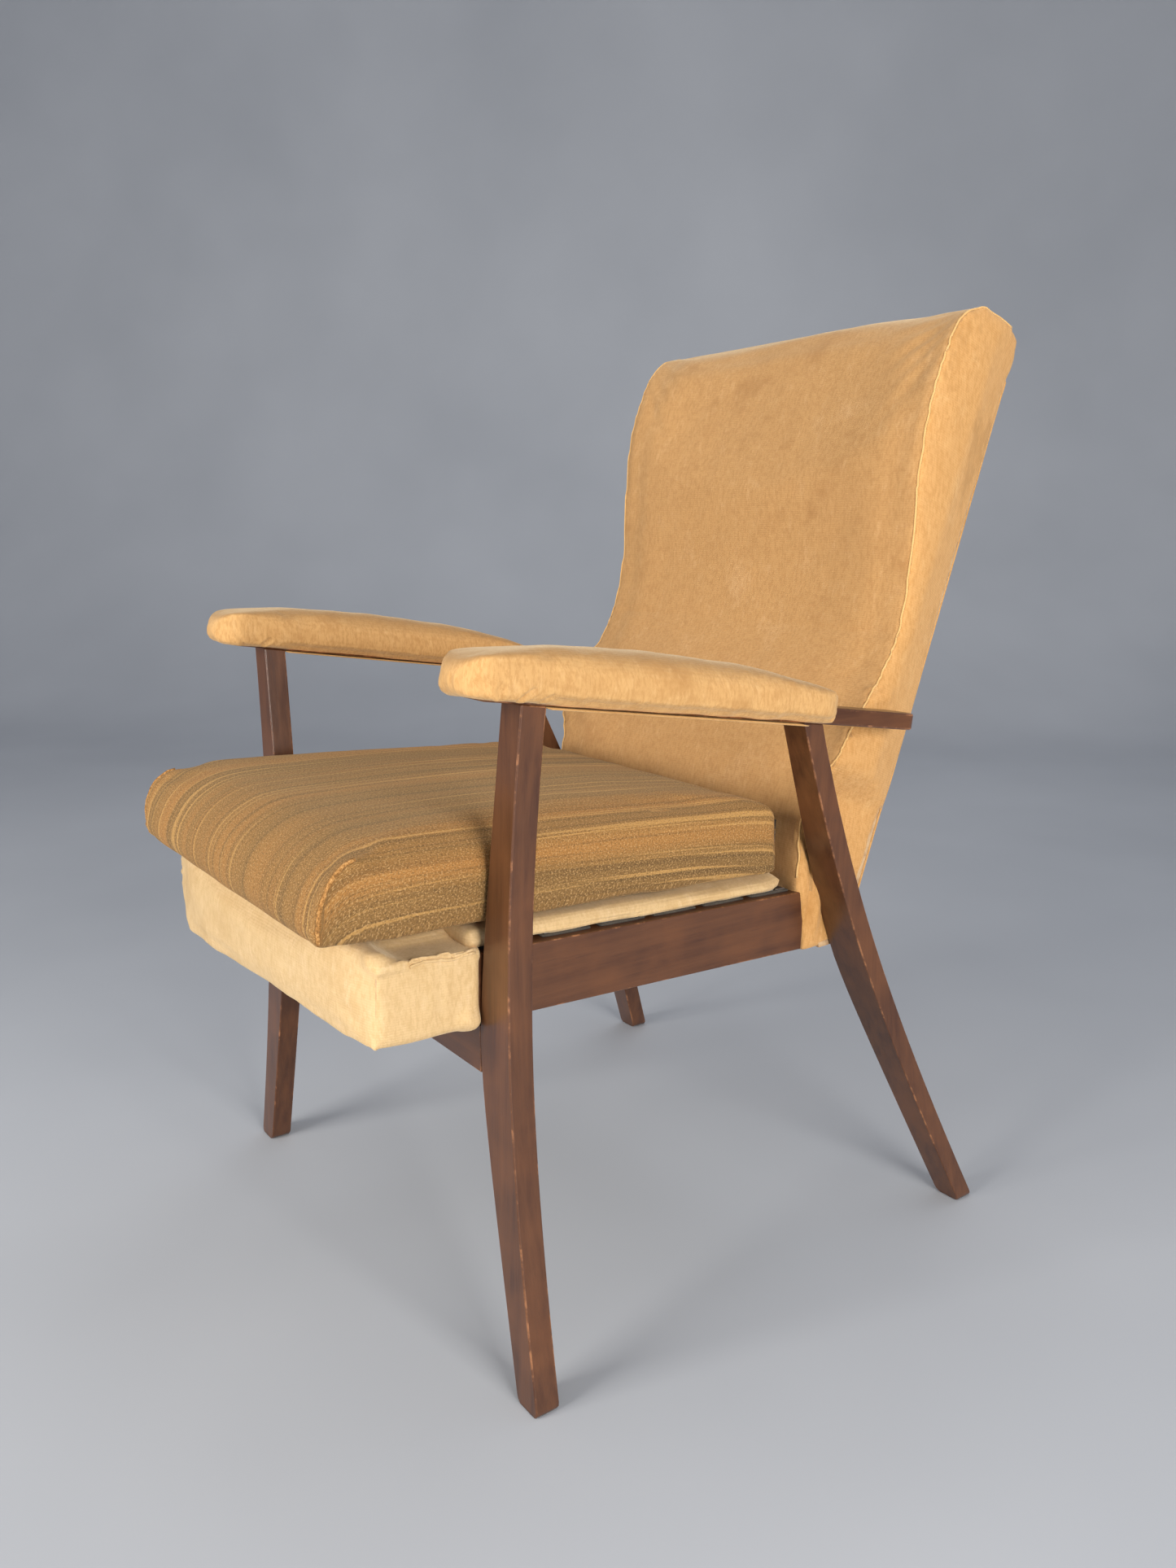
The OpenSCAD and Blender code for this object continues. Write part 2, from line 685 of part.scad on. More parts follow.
front_leg(1);  // front_leg_left
front_leg(-1);  // front_leg_right
rear_leg(1);  // rear_leg_left
rear_leg(-1);  // rear_leg_right
arm_rail(1);  // arm_rail_left
arm_rail(-1);  // arm_rail_right
arm_foam(1);  // arm_foam_left
arm_foam(-1);  // arm_foam_right
arm_cover(1);  // arm_cover_left
arm_cover(-1);  // arm_cover_right
arm_underside(1);  // arm_underside_left
arm_underside(-1);  // arm_underside_right
seat_rail(1);  // seat_rail_left
seat_rail(-1);  // seat_rail_right
front_cross_rail();
border_board();
corner_blocks();
border_foam();
border_cover();
seat_webbing();
webbing_staples();
platform_pad();
platform_cover();
back_stile(1);  // back_stile_left
back_stile(-1);  // back_stile_right
back_wing(1);  // back_wing_left
back_wing(-1);  // back_wing_right
back_top_rail();
back_lumbar_rail();
back_bottom_rail();
back_webbing();
back_foam();
back_front_cover();
back_side_cover(1);  // back_side_cover_left
back_side_cover(-1);  // back_side_cover_right
back_rear_cover();
leg_bolts();
arm_bolts();
arm_dowels();
cushion_foam();
cushion_cover();
cushion_zip();
zip_slider();
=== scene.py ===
"""Upholstered armchair: the visual model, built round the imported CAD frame. Metres, +Z up, facing -Y."""
import math

import bmesh
import bpy
import numpy as np
from mathutils import Matrix, Vector, noise
from mathutils.bvhtree import BVHTree


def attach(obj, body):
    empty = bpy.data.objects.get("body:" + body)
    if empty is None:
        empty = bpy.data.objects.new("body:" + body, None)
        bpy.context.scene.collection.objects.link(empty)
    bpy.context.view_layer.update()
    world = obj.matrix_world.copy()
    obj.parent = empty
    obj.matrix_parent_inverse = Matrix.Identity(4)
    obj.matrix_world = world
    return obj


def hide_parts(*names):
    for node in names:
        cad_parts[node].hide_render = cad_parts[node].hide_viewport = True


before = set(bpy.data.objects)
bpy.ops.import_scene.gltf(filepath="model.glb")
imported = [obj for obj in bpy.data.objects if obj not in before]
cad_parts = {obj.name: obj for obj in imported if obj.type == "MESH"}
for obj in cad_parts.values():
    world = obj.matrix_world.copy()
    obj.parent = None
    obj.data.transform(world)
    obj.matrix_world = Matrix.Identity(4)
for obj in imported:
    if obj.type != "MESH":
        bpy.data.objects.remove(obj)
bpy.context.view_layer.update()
DEG = math.pi / 180

# ---- Frames of the chair, as in the CAD: local axes to the row frame ----

FRONT_Y = -0.2607


def tilted(angle, y, z):
    """A frame turned backwards about X by angle, with its origin at (0, y, z)."""
    return Matrix.Translation((0, y, z)) @ Matrix.Rotation(-angle * DEG, 4, "X")


SEAT = tilted(2.6, FRONT_Y, 0.375)
ARM = tilted(8.25, FRONT_Y, 0.587)
BACK = tilted(19.9, FRONT_Y + 0.4453, 0.293)
CHAIR = tilted(0, FRONT_Y, 0)


def to_row(matrix, points):
    m = np.array(matrix)
    return points @ m[:3, :3].T + m[:3, 3]


def to_local(matrix, points):
    return to_row(matrix.inverted(), points)


def placer(matrix, side=1, x0=0.0):
    """A function from a place in a local frame, in mm, on one side of the chair, to a row point."""
    return lambda x, y, z: matrix @ (Vector((side * (x0 + x), y, z)) / 1000)


# ---- Small mesh tools ----

def arc(cx, cy, r, a0, a1, steps, ry=None):
    """Points of an arc, angles in degrees; of an oval where ry differs from r."""
    angles = [a0 + (a1 - a0) * k / steps for k in range(steps + 1)]
    return [(cx + r * math.cos(a * DEG), cy + (ry or r) * math.sin(a * DEG)) for a in angles]


def mirrored(points):
    """Both halves of an outline drawn for X > 0."""
    return points + [(-x, y) for x, y in reversed(points)]


def bump(t, centre, half):
    """A smooth hump, 1 at the centre and 0 from half away; numpy arrays too."""
    return (1 + np.cos(math.pi * np.clip((t - centre) / half, -1, 1))) / 2


def ease(x, x0, x1):
    """0 below x0, 1 above x1, smooth between; numpy arrays too."""
    u = np.clip((x - x0) / (x1 - x0), 0, 1)
    return u * u * (3 - 2 * u)


def new_object(name, mesh):
    obj = bpy.data.objects.new(name, mesh)
    bpy.context.scene.collection.objects.link(obj)
    return obj


def from_bmesh(name, bm):
    mesh = bpy.data.meshes.new(name)
    bm.normal_update()
    bm.to_mesh(mesh)
    bm.free()
    return new_object(name, mesh)


def drop(obj):
    mesh = obj.data
    bpy.data.objects.remove(obj)
    bpy.data.meshes.remove(mesh)


def skin(bm, rings, closed=False):
    """Faces between neighbouring rings of vertices; an open run of rings gets two end faces."""
    n = len(rings[0])
    made = [bm.faces.new((a[k], a[(k + 1) % n], b[(k + 1) % n], b[k]))
            for a, b in zip(rings, rings[1:] + rings[:1] * closed) for k in range(n)]
    return made if closed else made + [bm.faces.new(rings[0][::-1]), bm.faces.new(rings[-1])]


def closed_mesh(name, bm, smooth=True):
    bmesh.ops.recalc_face_normals(bm, faces=bm.faces)
    obj = from_bmesh(name, bm)
    if smooth:
        smooth_shade(obj)
    return obj


def prism(matrix, axes, outline, low, high):
    """Closed prism: the outline lies in two local axes, such as "yz", and runs along the third."""
    order = ["xyz".index(c) for c in axes] + [3 - sum("xyz".index(c) for c in axes)]
    bm = bmesh.new()
    rings = []
    for w in (low, high):
        rings.append([])
        for u, v in outline:
            p = Vector()
            p[order[0]], p[order[1]], p[order[2]] = u, v, w
            rings[-1].append(bm.verts.new(matrix @ p))
    skin(bm, rings)
    return closed_mesh("prism", bm, False)


def bake(obj):
    """Applies the object's modifiers."""
    dg = bpy.context.evaluated_depsgraph_get()
    mesh = bpy.data.meshes.new_from_object(obj.evaluated_get(dg), depsgraph=dg)
    old = obj.data
    obj.modifiers.clear()
    obj.data = mesh
    bpy.data.meshes.remove(old)


def carve(obj, other, operation):
    mod = obj.modifiers.new("carve", "BOOLEAN")
    mod.operation, mod.object, mod.solver = operation, other, "EXACT"
    bake(obj)
    drop(other)


def common(name, *prisms):
    """What the prisms have in common, as one closed mesh."""
    obj = prisms[0]
    obj.name = name
    for other in prisms[1:]:
        carve(obj, other, "INTERSECT")
    return obj


def remesh(obj, voxel):
    mod = obj.modifiers.new("remesh", "REMESH")
    mod.mode, mod.voxel_size, mod.use_smooth_shade = "VOXEL", voxel, True
    bake(obj)


def soften(obj, rounds):
    mod = obj.modifiers.new("soften", "SMOOTH")
    mod.factor, mod.iterations = 0.5, rounds
    bake(obj)


def subdivide(obj):
    mod = obj.modifiers.new("fine", "SUBSURF")
    mod.levels = mod.render_levels = 1
    bake(obj)


def points_of(obj):
    a = np.empty(len(obj.data.vertices) * 3)
    obj.data.vertices.foreach_get("co", a)
    return a.reshape(-1, 3)


def normals_of(obj):
    a = np.empty(len(obj.data.vertices) * 3, dtype=np.float32)
    obj.data.vertex_normals.foreach_get("vector", a)
    return a.reshape(-1, 3).astype(float)


def set_points(obj, points):
    obj.data.vertices.foreach_set("co", points.ravel())
    obj.data.update()


def push(obj, amount):
    """Moves each point along its normal."""
    set_points(obj, points_of(obj) + normals_of(obj) * amount[:, None])


def swell(obj, pressure, cap, held):
    """Cloth simulation: the closed cloth swells, except where held is 1. No point moves further than cap."""
    scene = bpy.context.scene
    start = points_of(obj)
    group = obj.vertex_groups.new(name="held")
    for i in np.nonzero(held > 0)[0]:
        group.add([int(i)], float(held[i]), "REPLACE")
    mod = obj.modifiers.new("cloth", "CLOTH")
    s = mod.settings
    s.quality, s.mass = 5, 0.3
    s.tension_stiffness = s.compression_stiffness = 15
    s.shear_stiffness, s.bending_stiffness = 5, 0.5
    s.use_pressure, s.uniform_pressure_force = True, pressure
    s.effector_weights.gravity = 0
    s.vertex_group_mass = "held"
    frames = 20
    mod.point_cache.frame_start, mod.point_cache.frame_end = 1, frames
    for f in range(1, frames + 1):
        scene.frame_set(f)
    dg = bpy.context.evaluated_depsgraph_get()
    mesh = obj.evaluated_get(dg).to_mesh()
    end = np.empty(len(mesh.vertices) * 3)
    mesh.vertices.foreach_get("co", end)
    obj.evaluated_get(dg).to_mesh_clear()
    obj.modifiers.clear()
    obj.vertex_groups.clear()
    move = end.reshape(-1, 3) - start
    size = np.linalg.norm(move, axis=1)
    move *= (cap * np.tanh(size / cap) / np.maximum(size, 1e-9))[:, None]
    set_points(obj, start + move)
    scene.frame_set(1)


def nearest_on_line(points, line):
    """Distance of each point to a polyline, and how far along it (0 to 1) the nearest place is."""
    line = np.array(line, dtype=float)
    lengths = np.linalg.norm(line[1:] - line[:-1], axis=1)
    starts = np.concatenate([[0], np.cumsum(lengths)])
    best = np.full(len(points), 1e9)
    along = np.zeros(len(points))
    for k in range(len(line) - 1):
        a, d = line[k], line[k + 1] - line[k]
        u = np.clip((points - a) @ d / max(d @ d, 1e-12), 0, 1)
        dist = np.linalg.norm(points - a - u[:, None] * d, axis=1)
        closer = dist < best
        best[closer] = dist[closer]
        along[closer] = (starts[k] + u[closer] * lengths[k]) / starts[-1]
    return best, along


def crease(obj, at, width, depth, *places, shoulder=0.45):
    """Presses a groove with raised shoulders through places, which at() turns into row points."""
    d, u = nearest_on_line(points_of(obj), [at(*p) for p in places])
    near = d < 4 * width
    fade = ease(u, 0, 0.25) * ease(-u, -1, -0.75)
    groove = -np.exp(-(d / width) ** 2) + shoulder * np.exp(-((d - 1.9 * width) / width) ** 2)
    push(obj, np.where(near, depth * groove * fade, 0))


def fold(obj, at, width, height, *places):
    """Raises a soft fold through places, which at() turns into row points."""
    d, u = nearest_on_line(points_of(obj), [at(*p) for p in places])
    fade = ease(u, 0, 0.35) * ease(-u, -1, -0.65)
    push(obj, height * np.exp(-(d / width) ** 2) * fade)


def unevenness(obj, size, height, seed):
    """Gentle lumps, as of stuffing under cloth."""
    shift = Vector((seed * 7.3, seed * 3.1, seed * 5.7))
    amount = [noise.noise(Vector(p) / size + shift) for p in points_of(obj)]
    push(obj, np.array(amount) * height)


def smooth_shade(obj):
    obj.data.polygons.foreach_set("use_smooth", [True] * len(obj.data.polygons))
    obj.data.update()


def flip_x(obj, name):
    """A copy of the object on the other side of the chair."""
    mesh = obj.data.copy()
    other = new_object(name, mesh)
    a = points_of(other)
    a[:, 0] *= -1
    set_points(other, a)
    mesh.flip_normals()
    return other


def on_surface(obj, line, lift):
    """Moves points to the object's surface, standing proud by lift."""
    mesh = obj.data
    tree = BVHTree.FromPolygons([v.co for v in mesh.vertices], [tuple(p.vertices) for p in mesh.polygons])
    out = []
    for p in line:
        place, normal, _, _ = tree.find_nearest(Vector(p))
        out.append(place + normal * lift)
    return out


def resample(line, step):
    """The line with evenly spaced points."""
    line = [Vector(p) for p in line]
    total = sum((b - a).length for a, b in zip(line, line[1:]))
    count = max(2, round(total / step))
    out, k, passed = [line[0]], 0, 0.0
    for i in range(1, count):
        want = total * i / count
        while passed + (line[k + 1] - line[k]).length < want:
            passed += (line[k + 1] - line[k]).length
            k += 1
        out.append(line[k].lerp(line[k + 1], (want - passed) / (line[k + 1] - line[k]).length))
    return out + [line[-1]]


def tube(bm, line, radius, sides=6, closed=False):
    """Adds a tube along a line to a bmesh."""
    rings = []
    n = len(line)
    for i, p in enumerate(line):
        a = line[i - 1] if i or closed else p
        b = line[(i + 1) % n] if i < n - 1 or closed else p
        along = (b - a).normalized()
        up = Vector((0, 0, 1)) if abs(along.z) < 0.9 else Vector((1, 0, 0))
        u = along.cross(up).normalized()
        v = along.cross(u)
        rings.append([bm.verts.new(p + (u * math.cos(k * 2 * math.pi / sides)
                                        + v * math.sin(k * 2 * math.pi / sides)) * radius)
                      for k in range(sides)])
    skin(bm, rings, closed)


def seam(name, host, lines, radius, material, body, lift=0.0, slot="velour"):
    """The rolled edge of a seam: a fine tube lying half sunk in the host's surface."""
    bm = bmesh.new()
    for line in lines:
        tube(bm, on_surface(host, resample(line, 0.004), lift), radius)
    finish_piece(closed_mesh(name, bm), body, material, slot=slot)


def finish_piece(obj, body, *materials, slot="velour"):
    for m in materials:
        obj.data.materials.append(m)
    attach(obj, body)


# ---- Materials ----

class Graph:
    """A material under construction."""

    def __init__(self, name):
        self.material = bpy.data.materials.new(name)
        self.material.use_nodes = True
        self.nodes = self.material.node_tree.nodes
        self.links = self.material.node_tree.links
        self.shader = self.nodes["Principled BSDF"]

    def node(self, kind, values=(), **properties):
        """Adds a node; values maps an input's name or number to a number, colour or another node's output."""
        made = self.nodes.new("ShaderNode" + kind)
        for key, value in properties.items():
            setattr(made, key, value)
        for key, value in dict(values).items():
            self.set(made, key, value)
        return made

    def set(self, node, key, value):
        if isinstance(value, bpy.types.NodeSocket):
            self.links.new(value, node.inputs[key])
        else:
            node.inputs[key].default_value = value

    def surface(self, **values):
        for key, value in values.items():
            self.set(self.shader, key.replace("_", " "), value)
        return self.material

    def place(self, scale=(1, 1, 1), turn=(0, 0, 0)):
        """Object coordinates, turned and scaled."""
        source = self.node("TexCoord").outputs["Object"]
        return self.node("Mapping", {"Vector": source, "Rotation": tuple(a * DEG for a in turn),
                                     "Scale": scale}).outputs[0]

    def noise(self, vector, scale, detail, rough):
        return self.node("TexNoise", {"Vector": vector, "Scale": scale, "Detail": detail,
                                      "Roughness": rough}).outputs["Fac"]

    def ramp(self, factor, *stops):
        """Colour ramp; each stop is (position, colour)."""
        made = self.node("ValToRGB", {"Fac": factor})
        elements = made.color_ramp.elements
        while len(elements) < len(stops):
            elements.new(0.5)
        for element, (position, colour) in zip(elements, stops):
            element.position = position
            element.color = (*colour, 1)
        return made.outputs["Color"]

    def step(self, factor, low, high):
        """0 below low, 1 above high."""
        return self.node("MapRange", {"Value": factor, "From Min": low, "From Max": high},
                         interpolation_type="SMOOTHSTEP").outputs[0]

    def math(self, operation, a, b):
        return self.node("Math", {0: a, 1: b}, operation=operation).outputs[0]

    def mix(self, factor, a, b):
        made = self.node("Mix", data_type="RGBA")
        for key, value in ((0, factor), (6, a), (7, b)):
            if isinstance(value, tuple):
                value = (*value, 1)
            self.set(made, key, value)
        return made.outputs[2]

    def tint(self, colour, factor, low, high, share, other):
        """The colour, with share of the other where factor is past high and none short of low."""
        return self.mix(self.math("MULTIPLY", self.step(factor, low, high), share), colour, other)

    def bump(self, height, strength, distance):
        return self.node("Bump", {"Height": height, "Strength": strength, "Distance": distance}).outputs[0]


def velour(name, low, mid, high, rib_turn, seed, deep=0.08, top_shade=0.0):
    """Short-pile ribbed velour, mottled where the pile lies differently, deeper where crushed, with painted
    shade on faces that look upward.
    """
    g = Graph(name)
    place = g.place()
    shifted = g.node("Mapping", {"Vector": place, "Location": (seed, seed * 2, seed * 3)}).outputs[0]
    mottle = g.noise(shifted, 13, 6, 0.68)
    colour = g.ramp(mottle, (0.28, low), (0.44, mid), (0.58, mid), (0.76, high))
    crushed = g.noise(g.node("Mapping", {"Vector": shifted, "Scale": (5, 5, 3.2)}).outputs[0], 1, 6, 0.7)
    colour = g.tint(colour, crushed, 0.54, 0.60, deep, tuple(0.72 * c for c in low))
    brushed = g.noise(g.place((380, 380, 120), rib_turn), 1, 4, 0.7)
    colour = g.tint(colour, brushed, 0.44, 0.62, 0.55, low)
    flecks = g.noise(g.place((120, 120, 45), rib_turn), 1, 4, 0.7)
    colour = g.tint(colour, flecks, 0.52, 0.74, 0.42, low)
    colour = g.tint(colour, flecks, 0.46, 0.30, 0.40, high)
    rib = g.node("TexWave", {"Vector": g.place((1, 1, 1), rib_turn), "Scale": 145, "Distortion": 1.2,
                             "Detail": 1, "Detail Scale": 1.5},
                 wave_type="BANDS", bands_direction="Z").outputs["Fac"]
    colour = g.tint(colour, rib, 0.45, 0.0, 0.16, low)
    # Painted shade: faces that look upward are darkened, broken up by the mottle.
    if top_shade:
        upward = g.node("SeparateXYZ", {0: g.node("TexCoord").outputs["Normal"]}).outputs["Z"]
        top_shade_mask = g.math("ADD", upward, g.math("MULTIPLY", mottle, 0.4))
        colour = g.tint(colour, top_shade_mask, 0.55, 1.15, top_shade, tuple(0.62 * c for c in low))
    pile = g.noise(place, 1500, 2, 0.6)
    height = g.math("ADD", g.math("MULTIPLY", rib, 0.6), g.math("ADD", pile, g.math("MULTIPLY", flecks, 0.8)))
    return g.surface(Base_Color=colour, Roughness=0.85, Normal=g.bump(height, 0.32, 0.0006),
                     Sheen_Weight=0.38, Sheen_Roughness=0.42, Sheen_Tint=(1.0, 0.86, 0.62, 1),
                     Specular_IOR_Level=0.25)


def seat_weave():
    """Woven wool: uneven stripes along the cloth, flecked with lighter yarn."""
    g = Graph("seat_weave")
    across = g.node("Attribute", attribute_name="across").outputs["Fac"]
    along = g.node("Attribute", attribute_name="along").outputs["Fac"]
    flat = g.node("CombineXYZ", {0: across, 1: along}).outputs[0]

    def yarn(across_scale, along_scale, detail, rough, seed):
        at = g.node("Mapping", {"Vector": flat, "Scale": (across_scale, along_scale, 1),
                                "Location": (seed, seed, seed)}).outputs[0]
        return g.noise(at, 1, detail, rough)

    broad = yarn(24, 0.4, 2, 0.5, 3)
    colour = g.ramp(broad, (0.34, (0.205, 0.112, 0.038)), (0.46, (0.262, 0.138, 0.043)),
                    (0.56, (0.325, 0.158, 0.046)), (0.68, (0.380, 0.175, 0.048)))
    fine = yarn(150, 1.3, 3, 0.65, 11)
    colour = g.tint(colour, fine, 0.46, 0.66, 0.48, (0.085, 0.048, 0.020))
    gold = yarn(150, 1.6, 2, 0.55, 29)
    colour = g.tint(colour, gold, 0.57, 0.66, 0.60, (0.60, 0.335, 0.105))
    speck = yarn(720, 520, 2, 0.7, 5)
    colour = g.tint(colour, speck, 0.50, 0.64, 0.56, (0.62, 0.385, 0.165))
    shade = yarn(680, 500, 2, 0.7, 17)
    colour = g.tint(colour, shade, 0.50, 0.66, 0.54, (0.055, 0.032, 0.014))
    knots = yarn(500, 330, 2, 0.6, 41)
    height = g.math("ADD", g.math("MULTIPLY", fine, 0.7), g.math("ADD", knots, speck))
    return g.surface(Base_Color=colour, Roughness=0.9, Normal=g.bump(height, 0.6, 0.0008),
                     Sheen_Weight=0.12, Sheen_Roughness=0.5, Sheen_Tint=(1.0, 0.8, 0.5, 1),
                     Specular_IOR_Level=0.2)


def pale_seam_weave():
    """The woven wool along a seam: paler and flecked."""
    g = Graph("pale_seam_weave")
    yarns = g.noise(g.place(), 420, 3, 0.7)
    colour = g.ramp(yarns, (0.36, (0.20, 0.095, 0.028)), (0.52, (0.44, 0.21, 0.062)),
                    (0.66, (0.60, 0.34, 0.13)))
    return g.surface(Base_Color=colour, Roughness=0.9, Normal=g.bump(yarns, 0.6, 0.001),
                     Specular_IOR_Level=0.2)


def stained_wood(name, stretch, worn):
    """Dark stained wood with a satin lacquer; the arrises' copy shows paler wood where it has worn."""
    g = Graph(name)
    grain = g.noise(g.place(stretch), 1, 5, 0.62)
    colour = g.ramp(grain, (0.30, (0.058, 0.020, 0.009)), (0.50, (0.090, 0.033, 0.013)),
                    (0.72, (0.120, 0.045, 0.017)))
    clouds = g.noise(g.place(), 16, 3, 0.5)
    colour = g.tint(colour, clouds, 0.42, 0.72, 0.45, (0.165, 0.060, 0.020))
    pores = g.noise(g.place(tuple(6 * s for s in stretch)), 1, 2, 0.5)
    colour = g.tint(colour, pores, 0.6, 0.78, 0.30, (0.040, 0.015, 0.009))
    if worn:
        rub = g.noise(g.place(), 70, 4, 0.7)
        bare = g.math("ADD", g.math("MULTIPLY", rub, 0.7), g.math("MULTIPLY", clouds, 0.45))
        pale = g.mix(g.noise(g.place(), 400, 2, 0.5), (0.42, 0.19, 0.08), (0.22, 0.085, 0.035))
        colour = g.tint(colour, bare, 0.56, 0.70, 0.75, pale)
    rough = g.math("ADD", g.math("MULTIPLY", grain, 0.14), 0.27)
    height = g.math("ADD", grain, g.math("MULTIPLY", pores, 0.8))
    return g.surface(Base_Color=colour, Roughness=rough, Normal=g.bump(height, 0.10, 0.0008),
                     Specular_IOR_Level=0.42, Coat_Weight=0.20, Coat_Roughness=0.22)


def raw_wood():
    """Unfinished frame timber."""
    g = Graph("raw_wood")
    grain = g.noise(g.place((9, 90, 90)), 1, 5, 0.6)
    colour = g.ramp(grain, (0.3, (0.38, 0.22, 0.11)), (0.55, (0.56, 0.37, 0.20)), (0.75, (0.66, 0.47, 0.28)))
    return g.surface(Base_Color=colour, Roughness=0.8, Normal=g.bump(grain, 0.25, 0.001))


def webbing():
    """Woven upholstery webbing, dark with a paler line."""
    g = Graph("webbing")
    rows = g.node("TexWave", {"Vector": g.place(), "Scale": 260, "Distortion": 0.6},
                  wave_type="BANDS", bands_direction="X").outputs["Fac"]
    cross = g.node("TexWave", {"Vector": g.place(), "Scale": 190, "Distortion": 0.6},
                   wave_type="BANDS", bands_direction="Y").outputs["Fac"]
    woven = g.math("MAXIMUM", rows, cross)
    colour = g.ramp(woven, (0.2, (0.020, 0.017, 0.014)), (0.8, (0.085, 0.072, 0.058)))
    wear = g.noise(g.place(), 120, 3, 0.6)
    colour = g.tint(colour, wear, 0.55, 0.75, 0.4, (0.16, 0.135, 0.10))
    return g.surface(Base_Color=colour, Roughness=0.88, Normal=g.bump(woven, 0.5, 0.0008))


def steel():
    g = Graph("steel")
    scuffs = g.noise(g.place((300, 300, 60)), 1, 4, 0.6)
    colour = g.ramp(scuffs, (0.3, (0.42, 0.40, 0.37)), (0.7, (0.62, 0.60, 0.57)))
    rough = g.math("ADD", g.math("MULTIPLY", scuffs, 0.3), 0.2)
    return g.surface(Base_Color=colour, Metallic=1.0, Roughness=rough, Normal=g.bump(scuffs, 0.15, 0.0003))


GOLD = (0.395, 0.200, 0.069), (0.515, 0.285, 0.108), (0.61, 0.365, 0.165)
# Painted light: a lighter copy of the back's velour, for the back's side panels and the rear hem.
SIDE_GOLD_PAINTED_LIGHT = (0.50, 0.245, 0.070), (0.64, 0.345, 0.125), (0.72, 0.43, 0.18)
# Painted highlight: a lighter velour for the back's seam rolls.
SEAM_GOLD_HIGHLIGHT = (0.62, 0.35, 0.12), (0.74, 0.46, 0.18), (0.82, 0.54, 0.25)
ARM_GOLD = (0.45, 0.23, 0.075), (0.62, 0.36, 0.14), (0.70, 0.44, 0.20)
CREAM = (0.54, 0.35, 0.155), (0.66, 0.46, 0.235), (0.76, 0.56, 0.33)
BACK_TURN, ARM_TURN, SEAT_TURN = (19.9, 0, 0), (8.25, 90, 0), (2.6, 0, 0)
velour_back = velour("velour_back", *GOLD, BACK_TURN, 2.0)
velour_side_painted_light = velour("velour_side_painted_light", *SIDE_GOLD_PAINTED_LIGHT, BACK_TURN, 5.0, deep=0.5)
velour_seam_highlight = velour("velour_seam_highlight", *SEAM_GOLD_HIGHLIGHT, BACK_TURN, 7.0)
# The arms' velour carries painted shade on its upward-facing faces.
velour_arm = velour("velour_arm", *ARM_GOLD, ARM_TURN, 3.0, top_shade=0.55)
velour_border = velour("velour_border", *CREAM, SEAT_TURN, 1.0)
weave, weave_edge = seat_weave(), pale_seam_weave()
WOOD = {way: [stained_wood("stained_wood_" + way + end, stretch, bool(end)) for end in ("", "_worn")]
        for way, stretch in (("upright", (110, 110, 5)), ("along", (110, 5, 110)), ("across", (5, 110, 110)))}
timber, straps, metal = raw_wood(), webbing(), steel()



# ---- Back ----

# t runs up the back from its foot, n forward from its rear face. The waist lies between the rear legs.
BACK_LEN, TOP_R, REAR_TOP_R, CORNER_R = 0.641, 0.060, 0.036, 0.016
BACK_HALF, BACK_REAR_HALF, WAIST_HALF = 0.232, 0.210, 0.208
WAIST_T0, WAIST_T1, SPREAD_N = 0.132, 0.178, 0.060
DISH_R, DISH_N, TOE_T = 1.6, 0.114, 0.036
TOE_Y, BACK_Z = FRONT_Y + 0.383, 0.293
BACK_THIN = 0.080
LUMBAR, LUMBAR_T, LUMBAR_SPAN = 0.039, 0.145, 0.175
HEAD, HEAD_T, HEAD_SPAN = 0.049, 0.548, 0.260


def back_depth(t):
    """Thickness of the back: the thin middle, a swelling for the loins and one for the head."""
    return BACK_THIN + LUMBAR * bump(t, LUMBAR_T, LUMBAR_SPAN) + HEAD * bump(t, HEAD_T, HEAD_SPAN)


def back_half(t):
    """Half the width of the back."""
    if t < WAIST_T0:
        return WAIST_HALF
    wider = bump(t, WAIST_T1, WAIST_T1 - WAIST_T0) if t < WAIST_T1 else 1
    return WAIST_HALF + (BACK_HALF - WAIST_HALF) * wider


def back_profile(g):
    """Side view of the back: (y, z) in its own frame, y to the rear, taken in by g."""
    toe = BACK.inverted() @ Vector((0, TOE_Y + g, BACK_Z))
    t_top = BACK_LEN - TOP_R
    front = [TOE_T + (t_top - TOE_T) * k / 36 for k in range(36)]
    crest = arc(-back_depth(t_top) + TOP_R, t_top, TOP_R - g, 180, 90, 10)
    crest = [(y, t - 0.002 + g * 0.5) for y, t in crest]
    rear = arc(-REAR_TOP_R, BACK_LEN - REAR_TOP_R - 0.0005, REAR_TOP_R, 90, 0, 8)
    return [(toe.y, toe.z)] + [(-back_depth(t) + g, t) for t in front] + crest + rear + [(0.0, 0.0)]


def back_solid(name, g):
    """The back without its details: side view, front view and section in common, dished in front."""
    side = prism(BACK, "yz", back_profile(g), -0.3, 0.3)
    waist = [WAIST_T0 + (WAIST_T1 - WAIST_T0) * k / 10 for k in range(11)]
    half = [(WAIST_HALF, -0.2)] + [(back_half(t), t) for t in waist]
    half += arc(BACK_HALF - CORNER_R, BACK_LEN - CORNER_R, CORNER_R, 0, 90, 6)
    front = prism(BACK, "xz", mirrored(half), -0.3, 0.1)
    spread = [(BACK_REAR_HALF, 0.01), (BACK_REAR_HALF, 0.0), (BACK_HALF, -SPREAD_N), (BACK_HALF, -0.3)]
    section = prism(BACK, "xy", mirrored(spread), -0.1, 0.8)
    obj = common(name, side, front, section)
    dish = [(x, y - DISH_N - DISH_R + g) for x, y in arc(0, 0, DISH_R, 80, 100, 40)]
    dish += [(-0.28, -0.6), (0.28, -0.6)]
    carve(obj, prism(BACK, "xy", dish, -0.1, 0.8), "DIFFERENCE")
    return obj


